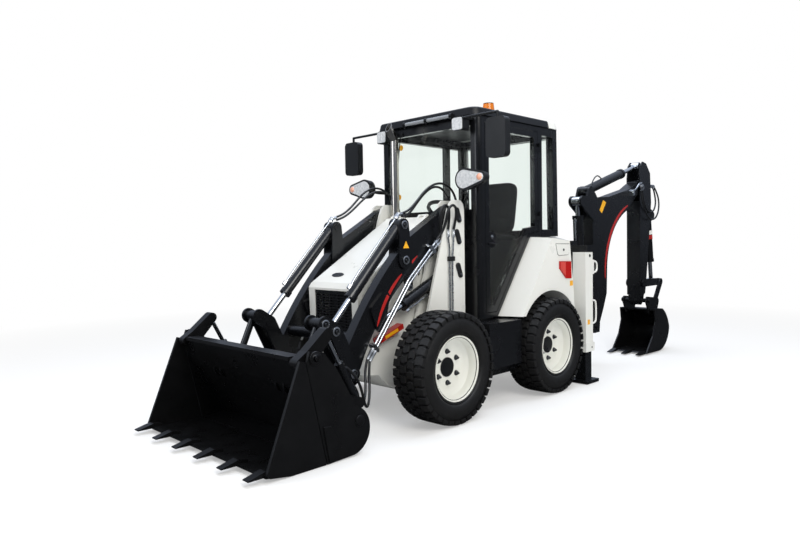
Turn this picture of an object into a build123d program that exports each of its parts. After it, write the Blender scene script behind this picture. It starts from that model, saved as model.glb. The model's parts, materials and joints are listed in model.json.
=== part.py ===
"""Compact side-shift backhoe loader with a clam loader bucket, as separate moving pieces.

Millimetres.  +X is forward, +Y is the machine's left, +Z is up and the tyres stand on Z = 0.
Side outlines are drawn as (x, z) with x measured from the front axle.
"""

import os
from math import asin, degrees, hypot, pi, sqrt

from build123d import *

# Frame and running gear
FRONT_AXLE_X = 1163.0
WHEELBASE = 1255.0
TYRE_RADIUS = 387.0
TYRE_WIDTH = 264.0
TYRE_PLANE_Y = 646.0
LUG_HEIGHT = 15.0
LUG_COUNT = 18
BEAD_RADIUS = 210.0
RIM_FLANGE_RADIUS = 224.0
RIM_WIDTH = 228.0
RIM_WALL = 8.0
DISC_INSET = 100.0
DISC_THICKNESS = 10.0
HUB_RADIUS = 66.0
HUB_PROUD = 6.0
RUNNING_GAP = 0.5

# Chassis, towers and engine bay
CHASSIS_HALF_WIDTH = 290.0
CHASSIS_TOP = 560.0
CHASSIS_BELLY = 190.0
CHASSIS_FRONT = 430.0
CHASSIS_TAIL_GAP = 10.0
ARM_PLANE_Y = 365.0
ARM_THICKNESS = 75.0
TOWER_GAP = 6.0
TOWER_PLATE = 18.0
TOWER_REAR = -488.0
TOWER_TOP = 1556.0
TOWER_TOP_WIDTH = 170.0
TOWER_FOOT_FRONT = -30.0
HOOD_HALF_WIDTH = 270.0
HOOD_FRONT = 462.0
HOOD_NOSE_Z = 950.0
HOOD_REAR = -330.0
HOOD_REAR_Z = 1440.0
HOOD_SKIN = 22.0
HOOD_CHEEK = 120.0
HOOD_ROUND = 20.0
HOOD_BOTTOM = 585.0
PANEL_THICKNESS = 12.0
PANEL_GAP = 4.0
GRILLE_HALF_WIDTH = 205.0
GRILLE_BOTTOM = 625.0
GRILLE_TOP = 915.0
GRILLE_SLATS = 13
GRILLE_DEPTH = 14.0
EXHAUST_X = -400.0
EXHAUST_Y = -225.0
EXHAUST_RADIUS = 33.0
EXHAUST_BEND = 2075.0
EXHAUST_TIP = 165.0

# Cab
CAB_FRONT = -545.0
CAB_REAR = -1640.0
CAB_HALF_WIDTH = 530.0
CAB_BOTTOM = 655.0
CAB_TOP = 2195.0
CAB_WALL = 45.0
CAB_DECK = 1277.0
CAB_SILL_REAR = -760.0
CAB_KICK_X = -1215.0
TUB_HALF_WIDTH = 478.0
TUB_BOTTOM = 590.0
TUB_WALL = 30.0
WINDOW_SILL = 1335.0
WINDOW_HEAD = 2125.0
SCREEN_SILL = 1490.0
PILLAR = 70.0
DOOR_REAR = -1335.0
DOOR_GAP = 5.0
DOOR_FRAME = 52.0
DOOR_HINGE_REACH = 10.0
DOOR_HINGE_PROUD = 15.0
HINGE_RADIUS = 12.0
HINGE_PIN_RADIUS = 6.0
HINGE_HEIGHT = 34.0
DOOR_HINGES = (1450.0, 2020.0)
HOOD_HINGE_LIFT = 11.0
HOOD_HINGE_Y = 150.0
GLASS = 6.0
GLASS_GAP = 0.3
ROOF_HEIGHT = 62.0
ROOF_FRONT = -485.0
ROOF_OVERHANG = 26.0
ROOF_SEAM = -1480.0

# Rear body, steps and side-shift frame
FENDER_Y = 700.0
ARCH_RADIUS = 448.0
STEP_FRONT = -430.0
STEP_REAR = -832.0
STEP_TOP = 640.0
STEP_BOTTOM = 235.0
STEP_Y = 700.0
COLUMN_FRONT = -1700.0
COLUMN_SIZE = 122.0
COLUMN_OUTER_Y = 760.0
COLUMN_TOP = 1136.0
COLUMN_BOTTOM = 275.0
COLUMN_WALL = 10.0
RAIL_HEIGHT = 59.0
RAIL_REAR = -1860.0
LOWER_RAIL_Z = 360.0
LOWER_RAIL_HEIGHT = 80.0
LEG_GAP = 0.5
LIFTING_EYE_RADIUS = 16.0
LIFTING_EYE_PLATE = 24.0
LIFTING_EYE_REACH = 34.0
LIFTING_EYE_Z = 1060.0
LEG_LENGTH = 800.0
PAD_BOTTOM = 5.0
PAD_THICKNESS = 26.0
PAD_LENGTH = 200.0
PAD_WIDTH = 190.0

# Loader linkage pins, as (x, z)
ARM_PIVOT = (-395.0, 1478.0)
LIFT_BASE = (-400.0, 1050.0)
LIFT_EYE = (385.0, 690.0)
KNEE_PIN = (150.0, 1368.0)
KNEE_FOOT = (140.0, 1123.0)
LEVER_ROD_PIN = (790.0, 697.0)
LEVER_LINK_PIN = (875.0, 750.0)
LEVER_PIVOT = (650.0, 411.0)
BUCKET_LINK_PIN = (1010.0, 450.0)
BUCKET_PIVOT = (830.0, 200.0)
JAW_PIVOT = (1174.0, 617.0)
JAW_ROD_PIN = (1050.0, 735.0)
CLAM_BASE = (820.0, 300.0)
PIN_RADIUS = 22.0
LIFT_BARREL_RADIUS = 40.0
LIFT_ROD_RADIUS = 22.0
TILT_BARREL_RADIUS = 36.0
TILT_ROD_RADIUS = 19.0
CLAM_BARREL_RADIUS = 27.0
CLAM_ROD_RADIUS = 14.0
BRACKET_PLATE = 16.0
PIPE_RADIUS = 9.0
PIPE_SPACING = 26.0
LEVER_PLATE = 18.0
LINK_EYE_WIDTH = 110.0
CROSS_TUBE = (575.0, 620.0)
CROSS_TUBE_RADIUS = 40.0

# Loader bucket
BUCKET_HALF_WIDTH = 725.0
BUCKET_SIDE = 20.0
BUCKET_SHEET = 14.0
BUCKET_FLOOR_Z = 4.0
BUCKET_EDGE_X = 1500.0
TOOTH_TIP_X = 1597.0
TOOTH_COUNT = 6
TOOTH_WIDTH = 55.0
TOOTH_SPAN = 1345.0
JAW_LEVER_Y = 657.0
JAW_LEVER_WIDTH = 66.0
SEAM_GAP = 6.0

# Backhoe
HOE_Y = 354.0
SWING_AXIS_X = -2150.0
CARRIAGE_HALF_WIDTH = 215.0
CARRIAGE_PLATE = 35.0
CARRIAGE_GAP = 5.0
KNUCKLE_RADIUS = 75.0
BOOM_FOOT = (-2500.0, 385.0)
BOOM_ROD_PIN = (-2275.0, 1610.0)
BOOM_BASE = (-2330.0, 640.0)
DIPPER_BASE = (-2420.0, 1712.0)
DIPPER_PIVOT = (-3500.0, 1800.0)
DIPPER_ROD_PIN = (-3515.0, 2030.0)
HOE_CYLINDER_BASE = (-3790.0, 1500.0)
ROCKER_PIVOT = (-3512.0, 760.0)
ROCKER_PIN = (-3885.0, 757.0)
HOE_LINK_PIN = (-3735.0, 548.0)
HOE_BUCKET_PIVOT = (-3506.0, 570.0)
BOOM_HALF_WIDTH = 60.0
DIPPER_HALF_WIDTH = 75.0
HOE_PLATE = 18.0
HOE_BUCKET_HALF_WIDTH = 200.0
HOE_SHEET = 14.0
HOE_TOOTH_TIP_X = -3200.0
HOE_TOOTH_WIDTH = 48.0
BOOM_BARREL_RADIUS = 48.0
DIPPER_BARREL_RADIUS = 46.0
HOE_BARREL_RADIUS = 40.0
HOE_ROD_RADIUS = 22.0

# Lamps and mirrors
HEAD_LAMP = (-344.0, 600.0, 1700.0)
WORK_LAMP = (-465.0, 415.0, 2129.0)
MIRROR = (-443.0, 782.0, 1985.0)
MIRROR_SIZE = (60.0, 172.0, 285.0)
BEACON = (-800.0, 430.0)


def side(y):
    """Upright plane along the machine at y: local x forward from the front axle, local y up."""
    return Plane((FRONT_AXLE_X, y, 0), x_dir=(1, 0, 0), z_dir=(0, -1, 0))


def across(x):
    """Upright plane across the machine at x: local x to the left, local y up."""
    return Plane((FRONT_AXLE_X + x, 0, 0), x_dir=(0, 1, 0), z_dir=(1, 0, 0))


def level(z):
    """Level plane at height z: local x forward from the front axle, local y to the left."""
    return Plane((FRONT_AXLE_X, 0, z))


def aimed(start, end, y):
    """Plane at one pin that faces another pin, both in the upright plane at y."""
    reach = (end[0] - start[0], 0, end[1] - start[1])
    return Plane((FRONT_AXLE_X + start[0], y, start[1]), x_dir=(0, 1, 0), z_dir=reach)


def distance(start, end):
    """Distance between two pins."""
    return hypot(end[0] - start[0], end[1] - start[1])


def plate(points, y, thickness, mode=Mode.ADD):
    """Flat plate with a straight-sided side outline, centred on y."""
    with BuildSketch(side(y)) as outline:
        with BuildLine():
            Polyline(*points, close=True)
        make_face()
    extrude(outline.sketch, amount=thickness / 2, both=True, mode=mode)


def strap(centres, radii, y, thickness, mode=Mode.ADD):
    """Flat plate that wraps round a row of pin bosses, centred on y."""
    with BuildSketch(side(y)) as outline:
        for centre, radius in zip(centres, radii):
            with Locations(centre):
                Circle(radius)
        make_hull()
    extrude(outline.sketch, amount=thickness / 2, both=True, mode=mode)


def pin(centre, y, length, radius, mode=Mode.ADD):
    """Round bar along Y, centred on y."""
    with BuildSketch(side(y)) as outline:
        with Locations(centre):
            Circle(radius)
    extrude(outline.sketch, amount=length / 2, both=True, mode=mode)


def bar(start, end, y, radius, first, last, mode=Mode.ADD):
    """Round bar on the line between two pins, from one distance along it to another."""
    with BuildSketch(aimed(start, end, y).offset(first)) as outline:
        Circle(radius)
    extrude(outline.sketch, amount=last - first, mode=mode)


def block(x0, x1, y0, y1, z0, z1, mode=Mode.ADD):
    """Rectangular block between stated limits."""
    with Locations((FRONT_AXLE_X + (x0 + x1) / 2, (y0 + y1) / 2, (z0 + z1) / 2)):
        Box(x1 - x0, y1 - y0, z1 - z0, mode=mode)


def barrel(base, tip, y, radius, eye_width, length):
    """Cylinder barrel with a bored eye at its base pin and a gland collar at its mouth."""
    bar(base, tip, y, radius, radius * 0.9, length)
    bar(base, tip, y, radius + 5, length - 34, length)
    pin(base, y, eye_width, radius + 4)
    pin(base, y, eye_width, PIN_RADIUS + RUNNING_GAP, mode=Mode.SUBTRACT)


def rod_bore(base, tip, y, radius, length, depth):
    """Bore in a barrel that its rod slides in."""
    bar(base, tip, y, radius + RUNNING_GAP, length - depth, length, mode=Mode.SUBTRACT)


def rod(base, tip, y, radius, first, eye_width, eye_radius):
    """Cylinder rod with an eye at its tip pin."""
    bar(base, tip, y, radius, first, distance(base, tip))
    pin(tip, y, eye_width, eye_radius)


def save(builder, label):
    """Name a finished piece and write it to its own file."""
    builder.part.label = label
    export_step(builder.part, f"parts/{label}.step")


os.makedirs("parts", exist_ok=True)

# Tyres: a carcass with staggered shoulder lugs and a broken centre rib, one form for all wheels
with BuildPart(Plane.XZ) as tyre_form:
    tread_radius = TYRE_RADIUS - LUG_HEIGHT
    half = TYRE_WIDTH / 2
    with BuildSketch(Plane.YZ) as tyre_section:
        with BuildLine():
            Polyline((-half + 26, BEAD_RADIUS), (half - 26, BEAD_RADIUS), (half - 26, BEAD_RADIUS + 18))
            ThreePointArc((half - 26, BEAD_RADIUS + 18), (half, BEAD_RADIUS + 85), (half - 16, tread_radius - 12))
            Polyline((half - 16, tread_radius - 12), (half - 32, tread_radius), (-half + 32, tread_radius),
                     (-half + 16, tread_radius - 12))
            ThreePointArc((-half + 16, tread_radius - 12), (-half, BEAD_RADIUS + 85),
                          (-half + 26, BEAD_RADIUS + 18))
            Line((-half + 26, BEAD_RADIUS + 18), (-half + 26, BEAD_RADIUS))
        make_face()
    revolve(axis=Axis.Y)
    pitch = 360 / LUG_COUNT
    lug_radial = LUG_HEIGHT + 8
    lug_length = 2 * pi * TYRE_RADIUS / LUG_COUNT * 0.72
    lug_centre = sqrt(TYRE_RADIUS ** 2 - (lug_length / 2) ** 2) - lug_radial / 2
    lug_turn = 270 + degrees(asin(lug_length / 2 / TYRE_RADIUS))
    for row, axial, start in ((0, 0.35, 0.0), (1, -0.35, 0.5), (2, 0.0, 0.25)):
        with Locations(Location((0, 0, axial * TYRE_WIDTH))):
            with PolarLocations(lug_centre, LUG_COUNT, start_angle=lug_turn + start * pitch):
                Box(lug_radial, lug_length, TYRE_WIDTH * (0.2 if row < 2 else 0.24))

# Rims: a deep dished disc in a barrel with two flanges
with BuildPart() as rim_form:
    with BuildSketch(Plane.YZ):
        with Locations((0, BEAD_RADIUS - RIM_WALL / 2 - RUNNING_GAP)):
            Rectangle(RIM_WIDTH, RIM_WALL)
        with Locations((RIM_WIDTH / 2 - RIM_WALL / 2, 0), (RIM_WALL / 2 - RIM_WIDTH / 2, 0)):
            with Locations((0, (RIM_FLANGE_RADIUS + BEAD_RADIUS - RIM_WALL) / 2)):
                Rectangle(RIM_WALL, RIM_FLANGE_RADIUS - BEAD_RADIUS + RIM_WALL)
        disc_y = RIM_WIDTH / 2 - DISC_INSET
        disc_low = HUB_RADIUS + RUNNING_GAP
        disc_high = BEAD_RADIUS - RIM_WALL
        with Locations((disc_y - DISC_THICKNESS / 2, (disc_low + disc_high) / 2)):
            Rectangle(DISC_THICKNESS, disc_high - disc_low)
    revolve(axis=Axis.Y)

for corner, axle_x, turn in (("fl", 0, 0), ("fr", 0, 180), ("rl", -WHEELBASE, 0), ("rr", -WHEELBASE, 180)):
    wheel_y = TYRE_PLANE_Y * (1 if turn == 0 else -1)
    place = Location((FRONT_AXLE_X + axle_x, wheel_y, TYRE_RADIUS), (0, 0, turn))
    with BuildPart() as tyre:
        add(tyre_form.part.moved(place))
    save(tyre, f"tyre_{corner}")
    with BuildPart() as rim:
        add(rim_form.part.moved(place))
    save(rim, f"rim_{corner}")

# Axle hubs: stub axles out of the chassis sides, with a flange behind each wheel disc
with BuildPart() as axle_hubs:
    disc_back = TYRE_PLANE_Y + RIM_WIDTH / 2 - DISC_INSET - DISC_THICKNESS
    hub_face = TYRE_PLANE_Y + RIM_WIDTH / 2 - DISC_INSET + HUB_PROUD
    for axle_x in (0, -WHEELBASE):
        centre = (axle_x, TYRE_RADIUS)
        pin(centre, (CHASSIS_HALF_WIDTH + hub_face) / 2, hub_face - CHASSIS_HALF_WIDTH, HUB_RADIUS)
        pin(centre, disc_back - RUNNING_GAP - 15, 30, HUB_RADIUS + 44)
        pin(centre, CHASSIS_HALF_WIDTH + 30, 60, HUB_RADIUS + 34)
    mirror(about=Plane.XZ)
save(axle_hubs, "axle_hubs")

# Chassis: a closed tub with a rising front belly, and a pair of tower plates on a shelf each side
tower_inner = ARM_PLANE_Y - ARM_THICKNESS / 2 - TOWER_GAP - TOWER_PLATE / 2
tower_outer = ARM_PLANE_Y + ARM_THICKNESS / 2 + TOWER_GAP + TOWER_PLATE / 2
tower_half_gap = ARM_THICKNESS / 2 + TOWER_GAP
chassis_rear = COLUMN_FRONT + CHASSIS_TAIL_GAP
with BuildPart() as chassis:
    with BuildSketch(side(0)) as tub_outline:
        with BuildLine():
            Polyline((CHASSIS_FRONT, CHASSIS_TOP), (CHASSIS_FRONT, 345), (300, 328))
            ThreePointArc((300, 328), (205, 245), (100, CHASSIS_BELLY))
            Polyline((100, CHASSIS_BELLY), (chassis_rear + 150, CHASSIS_BELLY), (chassis_rear, 300),
                     (chassis_rear, CHASSIS_TOP), (CHASSIS_FRONT, CHASSIS_TOP))
        make_face()
    extrude(tub_outline.sketch, amount=CHASSIS_HALF_WIDTH, both=True)
    tower_nose = TOWER_REAR + TOWER_TOP_WIDTH
    tower_points = [(TOWER_REAR, CHASSIS_TOP - 40), (TOWER_REAR, TOWER_TOP - 70), (TOWER_REAR + 12, TOWER_TOP - 26),
                    (TOWER_REAR + 42, TOWER_TOP), (tower_nose - 40, TOWER_TOP), (tower_nose - 5, TOWER_TOP - 28),
                    (tower_nose + 22, TOWER_TOP - 85),
                    (TOWER_FOOT_FRONT, CHASSIS_TOP + 60), (TOWER_FOOT_FRONT, CHASSIS_TOP - 40)]
    for plate_y in (tower_inner, tower_outer):
        plate(tower_points, plate_y, TOWER_PLATE)
    shelf_outer = tower_outer + TOWER_PLATE / 2
    block(TOWER_REAR, TOWER_FOOT_FRONT, CHASSIS_HALF_WIDTH - 20, shelf_outer, CHASSIS_TOP - 60, CHASSIS_TOP - 20)
    block(TOWER_REAR, TOWER_REAR + 14, tower_inner, tower_outer, CHASSIS_TOP - 40, 960)
    for mount_x in (CAB_FRONT - 60, chassis_rear + 180):
        block(mount_x - 45, mount_x + 45, CHASSIS_HALF_WIDTH - 110, CHASSIS_HALF_WIDTH - 20, CHASSIS_TOP, TUB_BOTTOM)
    pin(ARM_PIVOT, ARM_PLANE_Y, 2 * tower_half_gap + 2 * TOWER_PLATE, PIN_RADIUS)
    pin(LIFT_BASE, ARM_PLANE_Y, 2 * tower_half_gap + 2 * TOWER_PLATE, PIN_RADIUS)
    split(bisect_by=Plane.XZ, keep=Keep.BOTTOM)
    mirror(about=Plane.XZ)
save(chassis, "chassis")

# Engine: one plain block on the chassis, under the hood
with BuildPart() as engine_block:
    block(-300, 330, -190, 190, CHASSIS_TOP, 880)
    fillet(engine_block.edges().filter_by(Axis.Z), 30)
save(engine_block, "engine_block")

# Side panels and the fixed cowl between hood and cab
panel_y = HOOD_HALF_WIDTH + PANEL_GAP + PANEL_THICKNESS / 2
with BuildPart() as side_panels:
    panel_points = [(CHASSIS_FRONT, CHASSIS_TOP), (CHASSIS_FRONT, HOOD_NOSE_Z - HOOD_CHEEK),
                    (HOOD_REAR, HOOD_REAR_Z - HOOD_CHEEK + 40), (HOOD_REAR, HOOD_REAR_Z),
                    (CAB_FRONT + DOOR_GAP, HOOD_REAR_Z + 20), (CAB_FRONT + DOOR_GAP, CHASSIS_TOP)]
    plate(panel_points, panel_y, PANEL_THICKNESS)
    for slot_x in (-180, -130, -80):
        strap([(slot_x, 1010), (slot_x, 1110)], [12, 12], panel_y, PANEL_THICKNESS, mode=Mode.SUBTRACT)
    mirror(about=Plane.XZ)
    block(CAB_FRONT + DOOR_GAP, HOOD_REAR - DOOR_GAP, -panel_y, panel_y, HOOD_REAR_Z - 30, HOOD_REAR_Z)
    hood_hinge = (HOOD_REAR, HOOD_REAR_Z + HOOD_HINGE_LIFT)
    for hinge_y in (-HOOD_HINGE_Y, HOOD_HINGE_Y):
        strap([hood_hinge, (HOOD_REAR - 50, HOOD_REAR_Z - 3)], [9, 6], hinge_y, 40)
        pin(hood_hinge, hinge_y, 100, HINGE_PIN_RADIUS)
save(side_panels, "side_panels")

# Exhaust stack: an upright tube with a raked tip
with BuildPart() as exhaust:
    stack = Plane((FRONT_AXLE_X + EXHAUST_X, EXHAUST_Y, HOOD_REAR_Z))
    rake = Plane((FRONT_AXLE_X + EXHAUST_X, EXHAUST_Y, EXHAUST_BEND), z_dir=(0.5, -0.12, 1))
    for radius, mode in ((EXHAUST_RADIUS, Mode.ADD), (EXHAUST_RADIUS - 4, Mode.SUBTRACT)):
        with BuildSketch(stack) as stack_section:
            Circle(radius)
        extrude(stack_section.sketch, amount=EXHAUST_BEND - HOOD_REAR_Z, mode=mode)
        with BuildSketch(rake) as tip_section:
            Circle(radius)
        extrude(tip_section.sketch, amount=EXHAUST_TIP, mode=mode)
        with Locations(rake.origin):
            Sphere(radius, mode=mode)
    tip_cut = rake.offset(EXHAUST_TIP - 45).rotated((0, 38, 0))
    split(bisect_by=tip_cut, keep=Keep.BOTTOM)
    with BuildSketch(stack) as foot_section:
        Circle(EXHAUST_RADIUS + 14)
        Circle(EXHAUST_RADIUS - 4, mode=Mode.SUBTRACT)
    extrude(foot_section.sketch, amount=24)
save(exhaust, "exhaust")

# Hood: a sloped skin with side cheeks and a framed front, hinged along its rear edge
hood_nose = (HOOD_FRONT - 25, HOOD_NOSE_Z + 20)
hood_slope = (HOOD_REAR_Z - hood_nose[1]) / (hood_nose[0] - HOOD_REAR)
with BuildPart() as hood:
    with BuildSketch(side(0)) as hood_outline:
        with BuildLine():
            Polyline((CHASSIS_FRONT + 4, HOOD_BOTTOM), (HOOD_FRONT - 12, HOOD_BOTTOM),
                     (HOOD_FRONT, HOOD_NOSE_Z - 20), hood_nose, (HOOD_REAR, HOOD_REAR_Z),
                     (HOOD_REAR, HOOD_REAR_Z - HOOD_CHEEK), (CHASSIS_FRONT + 4, HOOD_NOSE_Z - HOOD_CHEEK), close=True)
        make_face()
    extrude(hood_outline.sketch, amount=HOOD_HALF_WIDTH, both=True)
    crown = hood.edges().filter_by(lambda edge: edge.center().Z > 1150 and edge.length > 700)
    fillet(crown.sort_by(Axis.Z)[-2:], HOOD_ROUND)
    plate([(CHASSIS_FRONT + 4, HOOD_BOTTOM - 1), (CHASSIS_FRONT + 4, hood_nose[1] - HOOD_SKIN),
           (HOOD_REAR - 1, HOOD_REAR_Z - HOOD_SKIN), (HOOD_REAR - 1, HOOD_BOTTOM - 1)],
          0, 2 * (HOOD_HALF_WIDTH - HOOD_SKIN), mode=Mode.SUBTRACT)
    for hinge_y in (-HOOD_HINGE_Y, HOOD_HINGE_Y):
        for hand in (-1, 1):
            strap([hood_hinge, (HOOD_REAR + 45, HOOD_REAR_Z - 36)], [9, 9], hinge_y + hand * 32, 22)
            pin(hood_hinge, hinge_y + hand * 32, 22, HINGE_PIN_RADIUS + RUNNING_GAP, mode=Mode.SUBTRACT)
    block(CHASSIS_FRONT - 20, HOOD_FRONT + 20, -GRILLE_HALF_WIDTH, GRILLE_HALF_WIDTH, GRILLE_BOTTOM, GRILLE_TOP,
          mode=Mode.SUBTRACT)
save(hood, "hood")

# Grille: slats and uprights in a frame that fills the hood's front opening
with BuildPart() as grille:
    grille_x = HOOD_FRONT - HOOD_SKIN / 2 - 6
    grille_height = GRILLE_TOP - GRILLE_BOTTOM - 2 * GLASS_GAP
    grille_width = 2 * GRILLE_HALF_WIDTH - 2 * GLASS_GAP
    with BuildSketch(across(grille_x)) as grille_face:
        with Locations((0, (GRILLE_TOP + GRILLE_BOTTOM) / 2)):
            Rectangle(grille_width, grille_height)
            Rectangle(grille_width - 36, grille_height - 36, mode=Mode.SUBTRACT)
            with GridLocations(0, (grille_height - 30) / GRILLE_SLATS, 1, GRILLE_SLATS):
                Rectangle(grille_width - 10, 9)
            with GridLocations(grille_width / 5, 0, 4, 1):
                Rectangle(9, grille_height - 10)
    extrude(grille_face.sketch, amount=GRILLE_DEPTH / 2, both=True)
save(grille, "grille")

# Cab frame: pillars, rails and a floor tub left from a hollow box with its windows cut
door_front = CAB_FRONT - PILLAR
door_points = [(door_front, CAB_BOTTOM + 38), (CAB_SILL_REAR + 12, CAB_BOTTOM + 38), (CAB_KICK_X + 22, CAB_DECK + 20),
               (DOOR_REAR, CAB_DECK + 38), (DOOR_REAR, WINDOW_HEAD + 26), (door_front, WINDOW_HEAD + 26)]
quarter_front = DOOR_REAR - PILLAR + 10
quarter_points = [(quarter_front, WINDOW_SILL), (CAB_REAR + PILLAR, WINDOW_SILL),
                  (CAB_REAR + PILLAR + 8, WINDOW_HEAD), (quarter_front, WINDOW_HEAD)]
flank_points = [(door_front, CAB_BOTTOM + 90), (CAB_SILL_REAR + 30, CAB_BOTTOM + 90), (CAB_KICK_X + 60, WINDOW_SILL),
                (DOOR_REAR, WINDOW_SILL), (DOOR_REAR, WINDOW_HEAD), (door_front, WINDOW_HEAD)]
wall_y = CAB_HALF_WIDTH - CAB_WALL / 2
screen_half = CAB_HALF_WIDTH - PILLAR - 10
with BuildPart() as cab_frame:
    cab_points = [(CAB_FRONT, CAB_BOTTOM), (CAB_SILL_REAR, CAB_BOTTOM), (CAB_KICK_X, CAB_DECK),
                  (CAB_REAR, CAB_DECK), (CAB_REAR + 15, CAB_TOP), (CAB_FRONT, CAB_TOP)]
    plate(cab_points, 0, 2 * CAB_HALF_WIDTH)
    fillet(cab_frame.edges().filter_by(Axis.Z).sort_by(Axis.X)[-2:], 40)
    block(CAB_REAR + 40, CAB_FRONT, -TUB_HALF_WIDTH, TUB_HALF_WIDTH, TUB_BOTTOM, CAB_DECK + 60)
    block(CAB_REAR + 40 + TUB_WALL, CAB_FRONT - CAB_WALL, TUB_WALL - TUB_HALF_WIDTH, TUB_HALF_WIDTH - TUB_WALL,
          TUB_BOTTOM + TUB_WALL, CAB_TOP - CAB_WALL, mode=Mode.SUBTRACT)
    inner_points = [(CAB_FRONT - CAB_WALL, CAB_BOTTOM + CAB_WALL), (CAB_SILL_REAR - 22, CAB_BOTTOM + CAB_WALL),
                    (CAB_KICK_X + 6, CAB_DECK + CAB_WALL), (CAB_REAR + CAB_WALL, CAB_DECK + CAB_WALL),
                    (CAB_REAR + CAB_WALL + 15, CAB_TOP - CAB_WALL), (CAB_FRONT - CAB_WALL, CAB_TOP - CAB_WALL)]
    plate(inner_points, 0, 2 * (CAB_HALF_WIDTH - CAB_WALL), mode=Mode.SUBTRACT)
    plate(door_points, wall_y, CAB_WALL + 20, mode=Mode.SUBTRACT)
    plate(quarter_points, wall_y, CAB_WALL + 20, mode=Mode.SUBTRACT)
    plate(flank_points, -wall_y, CAB_WALL + 20, mode=Mode.SUBTRACT)
    plate(quarter_points, -wall_y, CAB_WALL + 20, mode=Mode.SUBTRACT)
    block(CAB_FRONT - CAB_WALL - 10, CAB_FRONT + 10, -screen_half, screen_half, SCREEN_SILL, WINDOW_HEAD,
          mode=Mode.SUBTRACT)
    block(CAB_REAR - 10, CAB_REAR + CAB_WALL + 30, -screen_half, screen_half, WINDOW_SILL, WINDOW_HEAD,
          mode=Mode.SUBTRACT)
    for hinge_z in DOOR_HINGES:
        with BuildSketch(level(hinge_z)) as knuckle:
            with Locations((DOOR_REAR - DOOR_HINGE_REACH, CAB_HALF_WIDTH + DOOR_HINGE_PROUD)):
                Circle(HINGE_RADIUS)
            with Locations((DOOR_REAR - 18, CAB_HALF_WIDTH), (DOOR_REAR - 42, CAB_HALF_WIDTH)):
                Circle(3)
            make_hull()
            with Locations((DOOR_REAR - DOOR_HINGE_REACH, CAB_HALF_WIDTH + DOOR_HINGE_PROUD)):
                Circle(HINGE_PIN_RADIUS + RUNNING_GAP, mode=Mode.SUBTRACT)
        extrude(knuckle.sketch, amount=HINGE_HEIGHT)
    block(CAB_REAR + 90, CAB_FRONT - 90, 90 - CAB_HALF_WIDTH, CAB_HALF_WIDTH - 90, CAB_TOP - CAB_WALL - 10, CAB_TOP + 10,
          mode=Mode.SUBTRACT)
save(cab_frame, "cab_frame")

# Fixed glass: windscreen, rear window, both quarter windows and the right flank
def pane(points, y, gap):
    """Sheet of glass that fills a window outline less an even gap."""
    with BuildSketch(side(y)) as outline:
        with BuildLine():
            Polyline(*points, close=True)
        make_face()
        offset(amount=-gap, kind=Kind.INTERSECTION)
    extrude(outline.sketch, amount=GLASS / 2, both=True)


with BuildPart() as cab_glass:
    pane(quarter_points, wall_y, GLASS_GAP)
    pane(quarter_points, -wall_y, GLASS_GAP)
    pane(flank_points, -wall_y, GLASS_GAP)
    for pane_x, sill in ((CAB_FRONT - CAB_WALL / 2, SCREEN_SILL), (CAB_REAR + CAB_WALL / 2 + 8, WINDOW_SILL)):
        block(pane_x - GLASS / 2, pane_x + GLASS / 2, GLASS_GAP - screen_half, screen_half - GLASS_GAP,
              sill + GLASS_GAP, WINDOW_HEAD - GLASS_GAP)
save(cab_glass, "cab_glass")

# Left door: a thin frame round one large pane, hinged on its rear upright
with BuildPart() as door_left:
    with BuildSketch(side(wall_y)) as door_outline:
        with BuildLine():
            Polyline(*door_points, close=True)
        make_face()
        offset(amount=-DOOR_GAP, kind=Kind.INTERSECTION)
        with BuildSketch(mode=Mode.SUBTRACT):
            with BuildLine():
                Polyline(*door_points, close=True)
            make_face()
            offset(amount=-DOOR_FRAME, kind=Kind.INTERSECTION)
    extrude(door_outline.sketch, amount=CAB_WALL / 2, both=True)
    pin((door_front - 75, 1255), wall_y, CAB_WALL, 62)
    for hinge_z in DOOR_HINGES:
        with BuildSketch(level(hinge_z - HINGE_HEIGHT - 1)) as leaf:
            with Locations((DOOR_REAR - DOOR_HINGE_REACH, CAB_HALF_WIDTH + DOOR_HINGE_PROUD)):
                Circle(HINGE_RADIUS)
            with Locations((DOOR_REAR + 16, CAB_HALF_WIDTH), (DOOR_REAR + 42, CAB_HALF_WIDTH)):
                Circle(3)
            make_hull()
        extrude(leaf.sketch, amount=HINGE_HEIGHT)
        with BuildSketch(level(hinge_z - 1)) as hinge_pin:
            with Locations((DOOR_REAR - DOOR_HINGE_REACH, CAB_HALF_WIDTH + DOOR_HINGE_PROUD)):
                Circle(HINGE_PIN_RADIUS)
        extrude(hinge_pin.sketch, amount=HINGE_HEIGHT + 3)
save(door_left, "door_left")

with BuildPart() as door_glass:
    with BuildSketch(side(wall_y)) as door_pane:
        with BuildLine():
            Polyline(*door_points, close=True)
        make_face()
        offset(amount=-DOOR_FRAME - GLASS_GAP, kind=Kind.INTERSECTION)
        with Locations((door_front - 75, 1255)):
            Circle(62 + GLASS_GAP, mode=Mode.SUBTRACT)
    extrude(door_pane.sketch, amount=GLASS / 2, both=True)
save(door_glass, "door_glass")

# Roof: a dark cap with rounded edges, and a pale moulding behind it that wraps the rear corners
with BuildPart() as roof_form:
    with BuildSketch(level(CAB_TOP)) as roof_outline:
        roof_length = ROOF_FRONT - CAB_REAR + ROOF_OVERHANG
        with Locations(((ROOF_FRONT + CAB_REAR - ROOF_OVERHANG) / 2, 0)):
            RectangleRounded(roof_length, 2 * (CAB_HALF_WIDTH + ROOF_OVERHANG - 8), 90)
    extrude(roof_outline.sketch, amount=ROOF_HEIGHT, taper=14)
    fillet(roof_form.faces().sort_by(Axis.Z)[-1].edges(), 18)

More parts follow.
